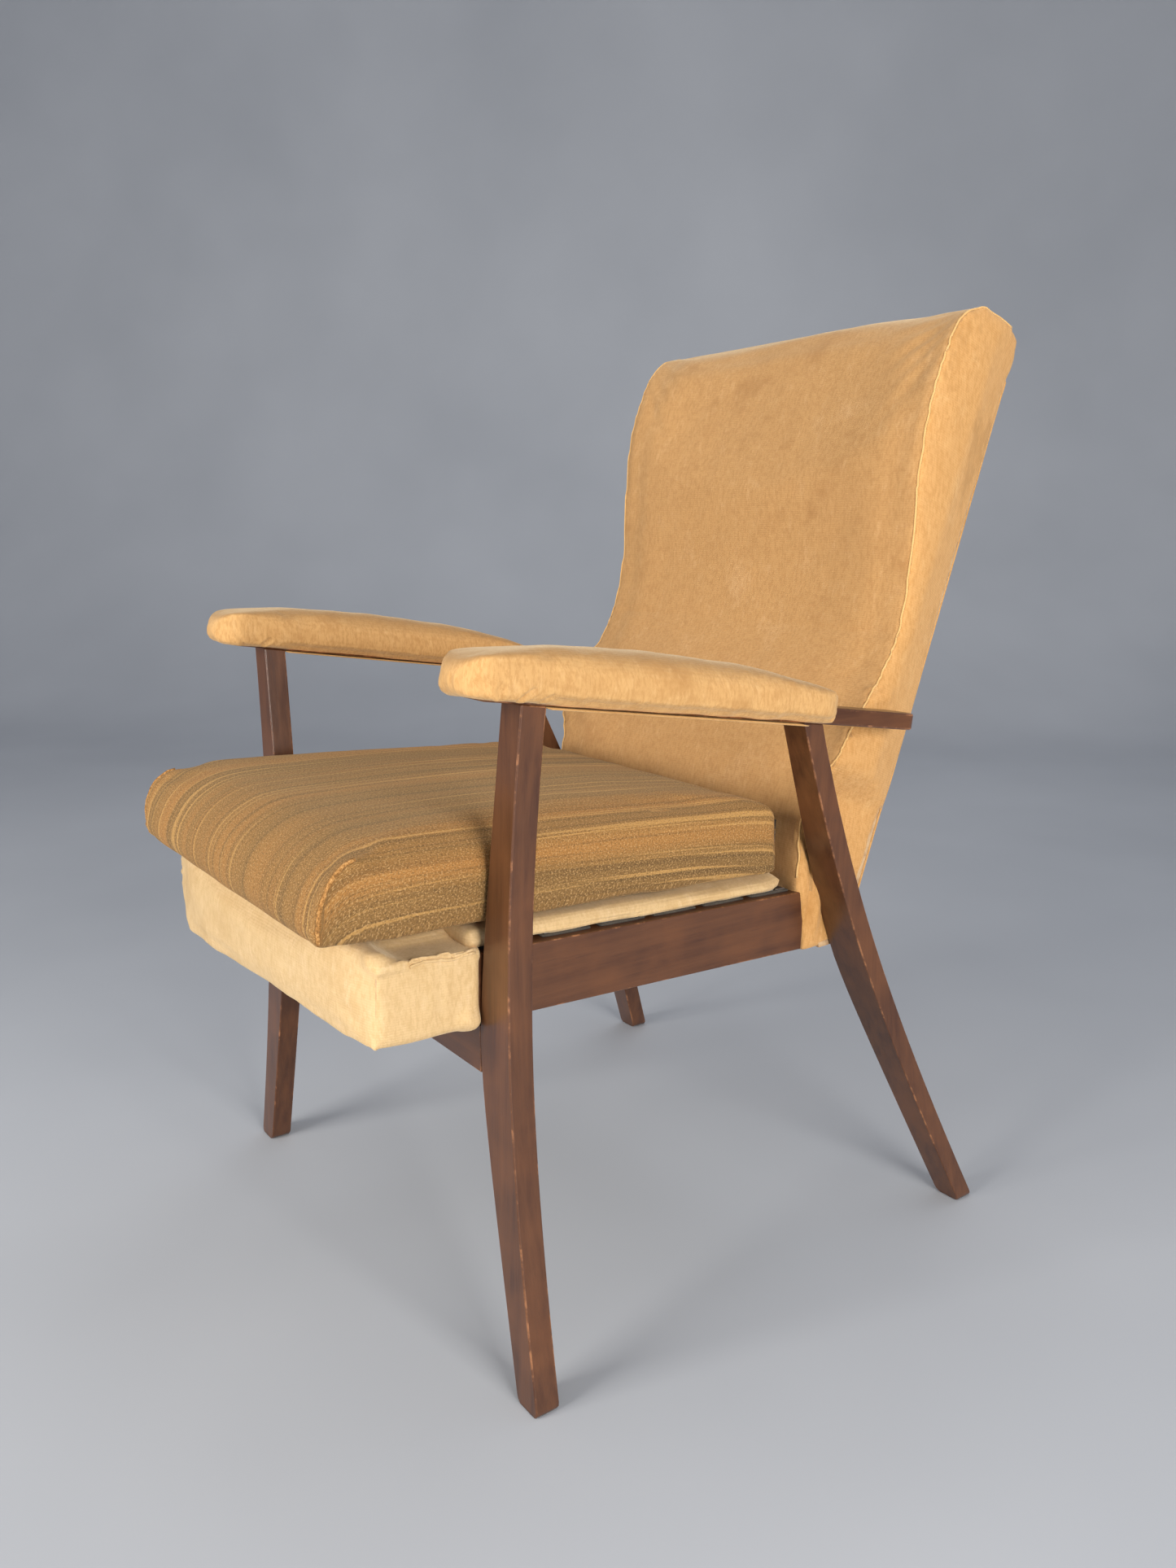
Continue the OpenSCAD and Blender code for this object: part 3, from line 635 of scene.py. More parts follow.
def rear_shoulders(local):
    """Fills out the two rear top corners; points of the back in its own frame."""
    x, y, t = local.T
    away = ((np.abs(x) - 0.214) / 0.034) ** 2 + ((y + 0.014) / 0.034) ** 2 + ((t - 0.634) / 0.026) ** 2
    near = np.exp(-away)
    return local + np.stack((0.0022 * np.sign(x) * near, 0.0060 * near, 0.0028 * near), 1)


def back_rim(side):
    """Line of the seam between the front and a side of the back, in the row frame."""
    t_top = BACK_LEN - TOP_R
    line = [(side * back_half(t), -back_depth(t), t) for t in np.linspace(0.05, t_top, 60)]
    for y, t in arc(-back_depth(t_top) + TOP_R, t_top, TOP_R, 180, 90, 10)[1:]:
        line.append((side * (BACK_HALF - 0.004 * ease(t, t_top, BACK_LEN)), y, t))
    line += [(side * (BACK_HALF - 0.005), y, BACK_LEN) for y in (-0.055, -0.045, -0.035)]
    return [BACK @ Vector(p) for p in line]


def back_side_folds(obj, side):
    """The pulls in the cloth where the arm rail passes, and the slack by the seat rail's end."""
    at = placer(CHAIR, side)
    crease(obj, at, 0.0035, 0.0045, (226, 438, 549), (228, 455, 552.5), (225, 475, 549))
    crease(obj, at, 0.003, 0.0025, (232, 405, 551.5), (232, 425, 548), (230, 440, 544.5))
    fold(obj, at, 0.008, 0.0025, (232, 385, 566), (232, 410, 575), (230, 440, 568))
    fold(obj, at, 0.007, 0.0024, (232, 365, 556), (210, 353, 568), (180, 352, 578))
    fold(obj, at, 0.006, 0.0018, (232, 362, 540), (200, 350, 545), (165, 348, 556))
    crease(obj, at, 0.004, 0.003, (231, 372, 527), (230, 410, 520), (228, 445, 514.5))
    crease(obj, at, 0.005, 0.0018, (228, 400, 505), (224, 420, 492), (220, 432, 470))
    fold(obj, at, 0.006, 0.0045, (209, 398.5, 395), (209, 400, 340), (209, 397, 296))
    crease(obj, at, 0.0028, 0.0022, (209, 389, 400), (209, 389.5, 350), (209, 390.5, 310))
    crease(obj, at, 0.004, 0.0035, (208, 372, 435), (208, 385, 405), (208, 392, 380))
    fold(obj, at, 0.007, 0.003, (200, 362, 460), (205, 368, 430), (206, 372, 400))


def make_back():
    obj = back_solid("back_upholstery", 0.0035)
    remesh(obj, 0.006)
    soften(obj, 3)
    local = to_local(BACK, points_of(obj))
    x, n, t = np.abs(local[:, 0]), -local[:, 1], local[:, 2]
    at_front = ease(n, 0.055, 0.085)
    hollow = 0.0045 * (1 - ease(x, 0.13, 0.215)) * ease(t, 0.24, 0.42) * at_front
    local[:, 1] += hollow
    crest = ease(t, 0.56, 0.61)
    local[:, 2] += 0.0115 * (1 - (x / BACK_HALF) ** 2) * crest
    local[:, 2] += 0.0015 * ease(local[:, 0], 0.14, 0.22) * crest
    shoulder = np.exp(-((n - 0.104) / 0.022) ** 2) * crest
    local[:, 2] += 0.0028 * shoulder * ease(local[:, 0], -0.05, 0.10) * (1 - ease(local[:, 0], 0.17, 0.23))
    local = rear_shoulders(local)
    set_points(obj, to_row(BACK, local))
    rim = np.minimum(*[nearest_on_line(points_of(obj), back_rim(s))[0] for s in (1, -1)])
    held = np.maximum(ease(-rim, -0.012, -0.004), ease(local[:, 1], -0.012, -0.005))
    held = np.maximum(held, ease(-local[:, 2], -0.05, -0.02))
    held = np.maximum(held, 0.6 * (1 - at_front))
    swell(obj, 4, 0.006, held)
    subdivide(obj)
    facing = to_local(BACK, points_of(obj) + normals_of(obj)) - to_local(BACK, points_of(obj))
    for side in (1, -1):
        away = nearest_on_line(points_of(obj), back_rim(side))[0]
        hollow = 0.0014 * np.exp(-((away - 0.031) / 0.014) ** 2) * ease(-facing[:, 1], 0.4, 0.8)
        push(obj, 0.0010 * np.exp(-(away / 0.0065) ** 2) - hollow)
        back_side_folds(obj, side)
    unevenness(obj, 0.11, 0.0022, 4)
    unevenness(obj, 0.032, 0.0005, 9)
    smooth_shade(obj)
    side_panels(obj)
    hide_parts("back_foam", "back_front_cover", "back_side_cover_left", "back_side_cover_right")
    finish_piece(obj, "frame", velour_back, velour_side_painted_light)
    # The seam rolls take the velour with the painted highlight.
    seam("back_seams", obj, [back_rim(1), back_rim(-1)], 0.0010, velour_seam_highlight, "frame", lift=0.0003)


def side_panels(obj):
    """Gives the side panels their own material, a lighter copy of the back's velour that paints light on
    them: faces that look sideways, behind the rim.
    """
    mesh = obj.data
    turned = to_local(BACK, points_of(obj))
    for face in mesh.polygons:
        centre = turned[list(face.vertices)].mean(axis=0)
        lean = abs(face.normal.x)
        limit = back_half(min(max(centre[2], 0), BACK_LEN)) - 0.0045
        if lean > 0.62 and (abs(centre[0]) > limit or centre[1] > -back_depth(centre[2]) + 0.01):
            face.material_index = 1


def make_rear_panel():
    """Outside back: one sheet of cloth over the frame's rear, a little slack between the rails."""
    rows, columns = 64, 42
    bm = bmesh.new()
    grid = []
    for i in range(rows + 1):
        v = i / rows
        t = 0.004 + v * (BACK_LEN - 0.026)
        half = BACK_REAR_HALF - 0.003 - 0.020 * ease(t, BACK_LEN - 0.045, BACK_LEN - 0.018) ** 2
        half -= 0.002 * (1 - ease(t, WAIST_T0, WAIST_T1))
        row = []
        for j in range(columns + 1):
            u = 2 * j / columns - 1
            slack = 0.0035 * (1 - u ** 4) * (1 - (2 * v - 1) ** 4)
            ripple = 0.0006 * noise.noise(Vector((u * 4, v * 7, 3)))
            roll = REAR_TOP_R - math.sqrt(max(REAR_TOP_R ** 2 - max(0.0, t - BACK_LEN + REAR_TOP_R) ** 2, 0))
            at = rear_shoulders(np.array([(u * half, 0.0008 - slack - ripple - roll, t)]))[0]
            row.append(bm.verts.new(BACK @ Vector(at)))
        grid.append(row)
    for i in range(rows):
        for j in range(columns):
            bm.faces.new((grid[i][j], grid[i][j + 1], grid[i + 1][j + 1], grid[i + 1][j]))
    edge = grid[0] + [r[-1] for r in grid[1:]] + grid[-1][-2::-1] + [r[0] for r in grid[-2:0:-1]]
    edge = [v.co.copy() for v in edge]
    obj = from_bmesh("back_rear_panel", bm)
    mod = obj.modifiers.new("thick", "SOLIDIFY")
    mod.thickness, mod.offset = 0.0014, 0
    bake(obj)
    smooth_shade(obj)
    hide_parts("back_rear_cover")
    finish_piece(obj, "frame", velour_back)
    bm = bmesh.new()
    tube(bm, resample(edge + [edge[0]], 0.006)[:-1], 0.0016, closed=True)
    hem = closed_mesh("back_rear_hem", bm)
    finish_piece(hem, "frame", velour_side_painted_light)


# ---- Arms ----

ARM_X, PAD_W, PAD_FRONT, PAD_REAR = 0.249, 0.066, -0.046, 0.361


def pad_top(s):
    """Height of the pad's top above the arm rail's underside, s back from the front leg."""
    return 0.049 - (s - 0.145) ** 2 / 2.4


def make_arm_pad():
    g, end_r, edge_r, lip_r = 0.002, 0.024, 0.021, 0.011
    low = -0.0008
    profile = arc(PAD_FRONT + end_r, pad_top(PAD_FRONT + end_r) - end_r, end_r - g, 180, 90, 8)
    profile += [(s, pad_top(s) - g) for s in np.linspace(0, PAD_REAR - end_r - 0.005, 14)]
    profile += arc(PAD_REAR - end_r, pad_top(PAD_REAR - end_r) - end_r, end_r - g, 90, 0, 8)
    profile += [(PAD_REAR - g, 0.006), (PAD_REAR - 0.006, low), (PAD_FRONT + 0.014, low),
                (PAD_FRONT + g, 0.010)]
    half = PAD_W / 2
    section = arc(half - lip_r, lip_r + low, lip_r - g, -90, 0, 5)
    section += arc(half - edge_r, 0.049 - edge_r, edge_r - g, 0, 90, 8)
    section = [(ARM_X + x, z) for x, z in mirrored(section)]
    plan = arc(0, PAD_REAR - half, half - g, 0, 180, 20) + arc(0, PAD_FRONT + half, half - g, 180, 360, 20)
    plan = [(ARM_X + x, y) for x, y in plan]
    obj = common("arm_pad_left", prism(ARM, "yz", profile, 0.2, 0.3), prism(ARM, "xz", section, -0.1, 0.4),
                 prism(ARM, "xy", plan, -0.01, 0.08))
    remesh(obj, 0.004)
    soften(obj, 4)
    local = to_local(ARM, points_of(obj))
    swell(obj, 4, 0.0035, ease(-local[:, 2], -0.006, -0.002))
    subdivide(obj)
    local = to_local(ARM, points_of(obj))
    across = local[:, 0] - ARM_X
    tucked = ease(-local[:, 2], -0.0095, -0.0055) * ease(np.abs(across), 0.018, 0.028)
    tucked *= ease(local[:, 1], 0.02, 0.05)
    local[:, 0] -= np.sign(across) * 0.0038 * tucked
    set_points(obj, to_row(ARM, local))
    return obj


def pad_pleats(obj):
    """Gathers under the nose, the folds by the front leg and the tucks along the tacked edge."""
    at = placer(ARM, x0=1000 * ARM_X)
    crease(obj, at, 0.0022, 0.0016, (20, -34, 22), (26, -28, 13), (27, -22, 5))
    crease(obj, at, 0.0022, 0.0026, (31, -12, 16), (32, -16, 9), (29, -10, 2))
    crease(obj, at, 0.0022, 0.0026, (33, 17, 15), (32, 10, 9), (27, 0, 1))
    crease(obj, at, 0.002, 0.0016, (31, 35, 10), (29, 26, 4), (24, 20, 0))
    crease(obj, at, 0.0022, 0.0022, (-26, -26, 16), (-28, -18, 8), (-24, -12, 1))
    crease(obj, at, 0.0022, 0.0022, (-31, 14, 13), (-30, 8, 6), (-25, 4, 0))
    crease(obj, at, 0.002, 0.0014, (6, -44, 20), (6, -40, 10), (4, -30, 1))
    crease(obj, at, 0.002, 0.0012, (-10, -43, 18), (-10, -36, 8), (-8, -26, 0))
    fold(obj, at, 0.005, 0.0018, (27, -24, 6), (30, -4, 4), (30, 14, 3))
    for k in range(9):
        s = 60 + 31 * k + 6 * math.sin(5.1 * k)
        for side in (1, -1):
            depth = 0.0012 + 0.0006 * math.sin(3.7 * k + side)
            crease(obj, at, 0.0022, depth, (side * 32.5, s + 6, 9), (side * 29, s, 3), (side * 23, s, -1))
    crease(obj, at, 0.002, 0.0014, (22, 351, 12), (24, 343, 4))
    crease(obj, at, 0.002, 0.0014, (-20, 353, 14), (-24, 345, 4))
    unevenness(obj, 0.035, 0.0012, 6)


def make_underside(side):
    """Cloth strip tacked along the underside of an arm."""
    bm = bmesh.new()
    half, s0, s1 = 0.023, 0.0385, 0.316
    rings = []
    for s in np.linspace(s0, s1, 61):
        width = half + 0.0012 * noise.noise(Vector((s * 40, side, 0)))
        sag = 0.0004 * noise.noise(Vector((s * 60, 3, side)))
        ring = [(-width, -0.0012), (-width + 0.002, -0.0022), (0, -0.0017 + sag), (width - 0.002, -0.0022),
                (width, -0.0012), (0, -0.0008)]
        rings.append([bm.verts.new(ARM @ Vector((side * (ARM_X + x), s, h))) for x, h in ring])
    skin(bm, rings)
    name = "left" if side > 0 else "right"
    obj = closed_mesh("arm_strip_" + name, bm)
    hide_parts("arm_underside_" + name)
    finish_piece(obj, "frame", velour_arm)


def make_arms():
    pad = make_arm_pad()
    pad_pleats(pad)
    smooth_shade(pad)
    pad.data.materials.append(velour_arm)
    for side, name in ((1, "left"), (-1, "right")):
        obj = pad if side > 0 else flip_x(pad, "arm_pad_right")
        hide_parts("arm_foam_" + name, "arm_cover_" + name)
        finish_piece(obj, "frame")
        make_underside(side)


# ---- Border and platform ----

BORDER_FRONT, BORDER_BOW, BORDER_BOTTOM, BORDER_HALF = -0.092, 0.012, -0.0665, 0.208
PLATFORM_H = 0.0196


def make_border():
    g, toe_r, roll_r, corner_r, rear = 0.003, 0.013, 0.020, 0.020, 0.0090
    nose = BORDER_FRONT - BORDER_BOW
    profile = arc(nose + toe_r, BORDER_BOTTOM + toe_r, toe_r - g, 270, 180, 4)
    profile += arc(nose + roll_r, PLATFORM_H - roll_r, roll_r - g, 180, 90, 8)
    profile += [(rear, PLATFORM_H - g), (rear, BORDER_BOTTOM + g)]
    half = arc(BORDER_HALF - 0.010, BORDER_BOTTOM + 0.010, 0.010, -90, 0, 4)
    half += arc(BORDER_HALF - corner_r, PLATFORM_H - corner_r, corner_r - g, 0, 90, 6)
    bow = [(k / 8 * (BORDER_HALF - 0.02), BORDER_FRONT - BORDER_BOW * (1 - (k / 9) ** 2) + g)
           for k in range(9)]
    bow += arc(BORDER_HALF - 0.018, bow[-1][1] + 0.018, 0.018, -75, 0, 6)
    obj = common("front_border", prism(SEAT, "yz", profile, -0.3, 0.3),
                 prism(SEAT, "xz", mirrored(half), -0.2, 0.1),
                 prism(SEAT, "xy", mirrored(bow + [(BORDER_HALF, rear)]), -0.1, 0.1))
    remesh(obj, 0.004)
    soften(obj, 3)
    shape_border(obj)
    x, v, h = to_local(SEAT, points_of(obj)).T
    end_top = ease(v, -0.085, -0.06) * ease(np.abs(x), 0.16, 0.19) * ease(h, -0.02, -0.008)
    held = np.maximum(ease(-h, 0.052, 0.058), ease(v, -0.014, -0.003))
    held = np.maximum(held, 0.7 * ease(np.abs(x), 0.208, 0.2105))
    swell(obj, 4, 0.005, np.maximum(held, end_top))
    subdivide(obj)
    border_details(obj)
    smooth_shade(obj)
    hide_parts("border_foam", "border_cover")
    finish_piece(obj, "frame", velour_border)
    border_edges(obj)


def shape_border(obj):
    """Drops the cloth behind the roll to the rails' top near the ends, and rounds the far end."""
    local = to_local(SEAT, points_of(obj))
    x, v, h = np.abs(local[:, 0]), local[:, 1], local[:, 2]
    fall = ease(x, 0.140, 0.180) * ease(v, -0.086, -0.054)
    local[:, 2] -= fall * np.maximum(h - 0.0042, 0)
    local[:, 0] += np.sign(local[:, 0]) * 0.0030 * ease(x, 0.190, 0.204)
    right = ease(-local[:, 0], -0.10, 0.20) * ease(-v, 0.0, 0.07)
    end = ease(-local[:, 0], 0.165, 0.208)
    local[:, 1] -= 0.012 * right
    local[:, 2] -= 0.006 * right * ease(-h, 0.0, 0.05) * (1 - end)
    local[:, 0] += end * (0.014 * ease(-h, 0.028, 0.066) - 0.005 * bump(h, -0.012, 0.045))
    set_points(obj, to_row(SEAT, local))


def border_details(obj):
    """Envelope folds at both ends, the tacked edge, and the lumps at the lower corners."""
    for side in (1, -1):
        at = placer(SEAT, side)
        crease(obj, at, 0.0018, 0.0034, (205, -101, 0.5), (210.5, -92, -1), (211, -80, 1.5),
               (210.5, -66, 3), (208, -52, 4), shoulder=0.8)
        crease(obj, at, 0.002, 0.0022, (201, -104, -9), (209.5, -95, -12.5), (211.5, -82, -11.5))
        crease(obj, at, 0.0025, 0.0016, (202, -103, -20), (209.5, -94, -24), (211.5, -84, -22))
        fold(obj, at, 0.008, 0.0030, (199, -98, 6), (203, -84, 10), (202, -68, 7))
        fold(obj, at, 0.007, 0.0060, (210.5, -97, -62), (211.5, -88, -66), (208, -80, -66))
        fold(obj, at, 0.008, 0.0050, (211.5, -12, -46), (212.5, 0, -56), (209, 4, -66))
        crease(obj, at, 0.004, 0.0009, (212.5, -30, -6), (212.5, -29, -30), (212.5, -30, -55))
        for k in range(6):
            v = 9 * k - 53
            depth = 0.0012 + 0.0006 * math.sin(2.3 * k)
            crease(obj, at, 0.0014, depth, (212, v + 2, -6), (210.5, v, -1), (203, v, 3))
    unevenness(obj, 0.05, 0.0014, 2)
    unevenness(obj, 0.018, 0.0003, 5)


def border_edges(obj):
    """The raw edges of the border's cloth, tacked along the top of its ends."""
    lines = []
    for side in (1, -1):
        for x, h, phase in ((0.2100, 0.0015, 0), (0.2060, 0.0032, 2)):
            lines.append([SEAT @ Vector((side * (x + 0.0007 * math.sin(190 * v + phase)), v,
                                         h + 0.0011 * math.sin(140 * v + 3 * phase + side)))
                          for v in np.linspace(-0.056, 0.004, 24)])
    seam("border_raw_edges", obj, lines, 0.0013, velour_border, "frame", lift=0.0004)


def make_platform():
    g = 0.001
    half, v0, v1, low = 0.2035, 0.0, 0.364, 0.0012
    edge = 0.0085
    section = arc(half - 0.005, low + 0.005, 0.005 - g, -90, 0, 4)
    section += arc(half - edge, PLATFORM_H - edge, edge - g, 0, 90, 6)
    plan = mirrored([(half - g, v0), (half - g, v1 - 0.02), (half - 0.01, v1)])
    obj = common("platform", prism(SEAT, "xz", mirrored(section), v0, v1),
                 prism(SEAT, "xy", plan, -0.01, 0.05))
    remesh(obj, 0.0045)
    soften(obj, 3)
    subdivide(obj)
    platform_details(obj)
    smooth_shade(obj)
    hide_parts("platform_pad", "platform_cover")
    finish_piece(obj, "frame", velour_border)


def platform_details(obj):
    """The cloth's edge rolls over the rails, thinner towards the rear, with tucks from its tacks."""
    local = to_local(SEAT, points_of(obj))
    x, v, h = np.abs(local[:, 0]), local[:, 1], local[:, 2]
    lower = 0.004 * ease(v, 0.12, 0.34) * ease(x, 0.17, 0.2) * ease(h, 0.006, 0.016)
    dip = 0.0025 * (1 - ease(x, 0.1, 0.19)) * ease(h, 0.01, 0.016)
    local[:, 2] -= lower + dip * ease(v, 0.02, 0.08) * ease(-v, -0.34, -0.28)
    set_points(obj, to_row(SEAT, local))
    for side in (1, -1):
        at = placer(SEAT, side)
        edge = [(203, v, 8.5 + 1.2 * math.sin(0.031 * v)) for v in np.linspace(20, 350, 34)]
        crease(obj, at, 0.0016, 0.0012, *edge)
        for k in range(12):
            v = 35 + 27 * k + 6 * math.sin(4.3 * k)
            depth = 0.0010 + 0.0005 * math.sin(2.9 * k)
            crease(obj, at, 0.0016, depth, (200.5, v + 4, 17), (203.5, v, 10), (202, v - 2, 3))
    unevenness(obj, 0.04, 0.0012, 8)


def make_webbing():
    """Straps across the seat, sagging a little between the rails."""
    bm = bmesh.new()
    width, t, count, half, span, sag = 0.050, 0.0022, 6, 0.1985, 0.184, 0.0035
    ring = [(-width / 2, 0.0003), (-width / 4, 0.0), (width / 4, 0.0), (width / 2, 0.0003),
            (width / 2, t - 0.0003), (width / 4, t), (-width / 4, t), (-width / 2, t - 0.0003)]
    for i in range(count):
        v = 0.040 + i * (0.345 - 0.040) / (count - 1)
        rings = []
        for x in np.linspace(-half, half, 41):
            low = sag * max(0.0, 1 - (x / span) ** 2)
            rings.append([bm.verts.new(SEAT @ Vector((x, v + dv, h - low))) for dv, h in ring])
        skin(bm, rings)
    obj = closed_mesh("seat_straps", bm)
    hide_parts("seat_webbing")
    finish_piece(obj, "frame", straps, slot="webbing")


# ---- Loose cushion ----

C_FRONT, C_REAR, C_BOTTOM, C_T, C_CROWN = -0.141, 0.365, 0.020, 0.075, 0.011
C_HALF, C_NOSE_HALF, C_CORNER = 0.208, 0.219, 0.018
NOSE_LONG, NOSE_TALL = 0.045, 0.0595
NOSE_V, NOSE_H = C_FRONT + NOSE_LONG, 0.038


def cushion_top(v):
    mid, half = (C_REAR + C_FRONT) / 2, (C_REAR - C_FRONT) / 2
    return C_BOTTOM + C_T + C_CROWN * (1 - ((v - mid) / half) ** 2)


def make_cushion():
    g, rear_r, toe_r, rear_toe_r, lower_r, upper_r = 0.0035, 0.038, 0.018, 0.016, 0.009, 0.020
    profile = arc(C_FRONT + toe_r, C_BOTTOM + toe_r, toe_r - g, 270, 190, 6)
    profile += arc(NOSE_V, NOSE_H, NOSE_LONG - g, 180, 96, 12, NOSE_TALL - g)
    profile += [(v, cushion_top(v) - g) for v in np.linspace(-0.080, C_REAR - rear_r - 0.012, 18)]
    profile += arc(C_REAR - rear_r, cushion_top(C_REAR - rear_r) - rear_r - 0.001, rear_r - g, 84, 0, 10)
    profile += arc(C_REAR - rear_toe_r, C_BOTTOM + rear_toe_r, rear_toe_r - g, 0, -90, 4)
    side = prism(SEAT, "yz", profile, -0.3, 0.3)
    plan = arc(C_NOSE_HALF - C_CORNER, C_FRONT + C_CORNER, C_CORNER - g, 270, 360, 8)
    plan += [(C_NOSE_HALF - g, -0.050), (C_NOSE_HALF - 0.002 - g, 0.0),
             (C_NOSE_HALF - 0.003 - g, C_REAR - 0.08)]
    plan += arc(C_NOSE_HALF - 0.042, C_REAR - 0.036, 0.036 - g, 0, 90, 8)
    top = prism(SEAT, "xy", mirrored(plan), 0, 0.2)
    section = arc(C_HALF + 0.004 - lower_r, C_BOTTOM + lower_r, lower_r - g, -90, 0, 4)
    section += arc(C_NOSE_HALF - upper_r, C_BOTTOM + C_T + 0.005 - upper_r, upper_r - g, 0, 66, 8)
    section += [(0.16, C_BOTTOM + C_T + 0.0065), (0.08, C_BOTTOM + C_T + 0.012)]
    obj = common("seat_cushion_pad", side, top, prism(SEAT, "xz", mirrored(section), -0.2, 0.4))
    remesh(obj, 0.006)
    soften(obj, 6)
    local = to_local(SEAT, points_of(obj))
    x, v, h = np.abs(local[:, 0]), local[:, 1], local[:, 2]
    held = ease(-h, -0.0265, -0.0245)
    for s in (1, -1):
        away = nearest_on_line(points_of(obj), corner_seam(s))[0]
        held = np.maximum(held, ease(-away, -0.012, -0.005))
    legs = ease(x, 0.2, 0.205) * ease(v, -0.02, -0.008) * ease(-v, -0.045, -0.035)
    legs *= ease(-h, -0.080, -0.062)
    swell(obj, 4, 0.006, np.maximum(held, legs))
    subdivide(obj)
    for s in (1, -1):
        away = nearest_on_line(points_of(obj), corner_seam(s))[0]
        push(obj, 0.0018 * np.exp(-(away / 0.006) ** 2) - 0.0012 * np.exp(-((away - 0.022) / 0.010) ** 2))
    unevenness(obj, 0.12, 0.0016, 12)
    unevenness(obj, 0.045, 0.0007, 3)
    cushion_cloth(obj)
    smooth_shade(obj)
    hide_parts("cushion_foam", "cushion_cover")
    finish_piece(obj, "seat_cushion", weave, slot="seat_weave")
    seam("cushion_corner_seams", obj, [corner_seam(1), corner_seam(-1)], 0.0017, weave_edge,
         "seat_cushion", lift=0.0003, slot="seat_weave")


def corner_seam(side):
    """Line of the seam at a front corner of the cushion, in the row frame."""
    line = []
    for k in range(13):
        u = k / 12
        h = 0.0950 - 0.069 * u
        rise = min(max(h - NOSE_H, 0) / NOSE_TALL, 1)
        v = NOSE_V + 0.006 - NOSE_LONG * math.sqrt(1 - rise * rise)
        x = C_NOSE_HALF - 0.004 - 0.004 * u * u - 0.006 * (1 - u) ** 2
        line.append(SEAT @ Vector((side * x, v, h)))
    return line


def cushion_cloth(obj):
    """Stores where each point lies on the cloth: across its stripes, and along them."""
    local = to_local(SEAT, points_of(obj))
    turned = normals_of(obj) @ np.array(SEAT.to_3x3())
    x, v, h = local.T
    ahead = np.clip((NOSE_V - v) / NOSE_LONG, 0, 1)
    above_nose = NOSE_TALL * np.sqrt(1 - ahead ** 2)
    top = np.where(v < NOSE_V, NOSE_H + above_nose, cushion_top(v))
    turn_x = np.abs(turned[:, 0])
    sideways = (turn_x > np.abs(turned[:, 1])) & (turn_x > 0.25) & (v > C_FRONT + 0.012)
    fall = np.where(sideways, np.clip(top - h, 0, C_T), 0)
    across = x + np.sign(x) * fall
    angle = np.arctan2((h - NOSE_H) / NOSE_TALL, (NOSE_V - v) / NOSE_LONG)
    nose = (v < NOSE_V) & ~sideways
    along = np.where(nose, NOSE_V - NOSE_TALL * (math.pi / 2 - angle), v)
    along = np.where(h < C_BOTTOM + 0.003, v - 1.0, along)
    for name, values in (("across", across), ("along", along)):
        attribute = obj.data.attributes.get(name) or obj.data.attributes.new(name, "FLOAT", "POINT")
        attribute.data.foreach_set("value", values.astype(np.float32))


def make_zip():
    """Zip along the cushion's rear: its tape, its teeth and the stitches that hold it."""
    bm = bmesh.new()
    half, mid, y = 0.180, C_BOTTOM + C_T / 2, C_REAR - 0.0002
    stitches = bmesh.new()
    for low, high in ((-0.012, -0.0026), (0.0026, 0.012)):
        rings = []
        for x in np.linspace(-half, half, 61):
            wave = 0.0003 * noise.noise(Vector((x * 50, low, 0)))
            ring = [(low, 0), (low, 0.0008), (high, 0.0008), (high, 0)]
            rings.append([bm.verts.new(SEAT @ Vector((x, y + d + wave, mid + h))) for h, d in ring])
        skin(bm, rings)
        row = mid + (low + high) / 2 + math.copysign(0.0022, low + high)
        for k in range(90):
            x = -half + 0.004 * (k + 0.15)
            ends = [SEAT @ Vector((x + dx, y + 0.0009, row)) for dx in (0, 0.0028)]
            tube(stitches, ends, 0.00035, 5)
    pitch, count = 0.0020, 180
    for k in range(count):
        x = -half + pitch * (k + 0.5)
        low, high = ((-0.0025, 0.0008) if k % 2 else (-0.0008, 0.0025))
        rings = [[bm.verts.new(SEAT @ Vector((x + dx, y + dy, mid + h)))
                  for dx, h in ((-0.0007, low), (0.0007, low), (0.0007, high), (-0.0007, high))]
                 for dy in (0.0, 0.0015)]
        for face in skin(bm, rings):
            face.material_index = 1
    obj = closed_mesh("cushion_zip_tape", bm, False)
    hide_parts("cushion_zip")
    finish_piece(obj, "seat_cushion", straps, metal, slot="webbing")
    finish_piece(closed_mesh("cushion_zip_stitches", stitches), "seat_cushion", velour_arm, slot="webbing")


# ---- Wood ----

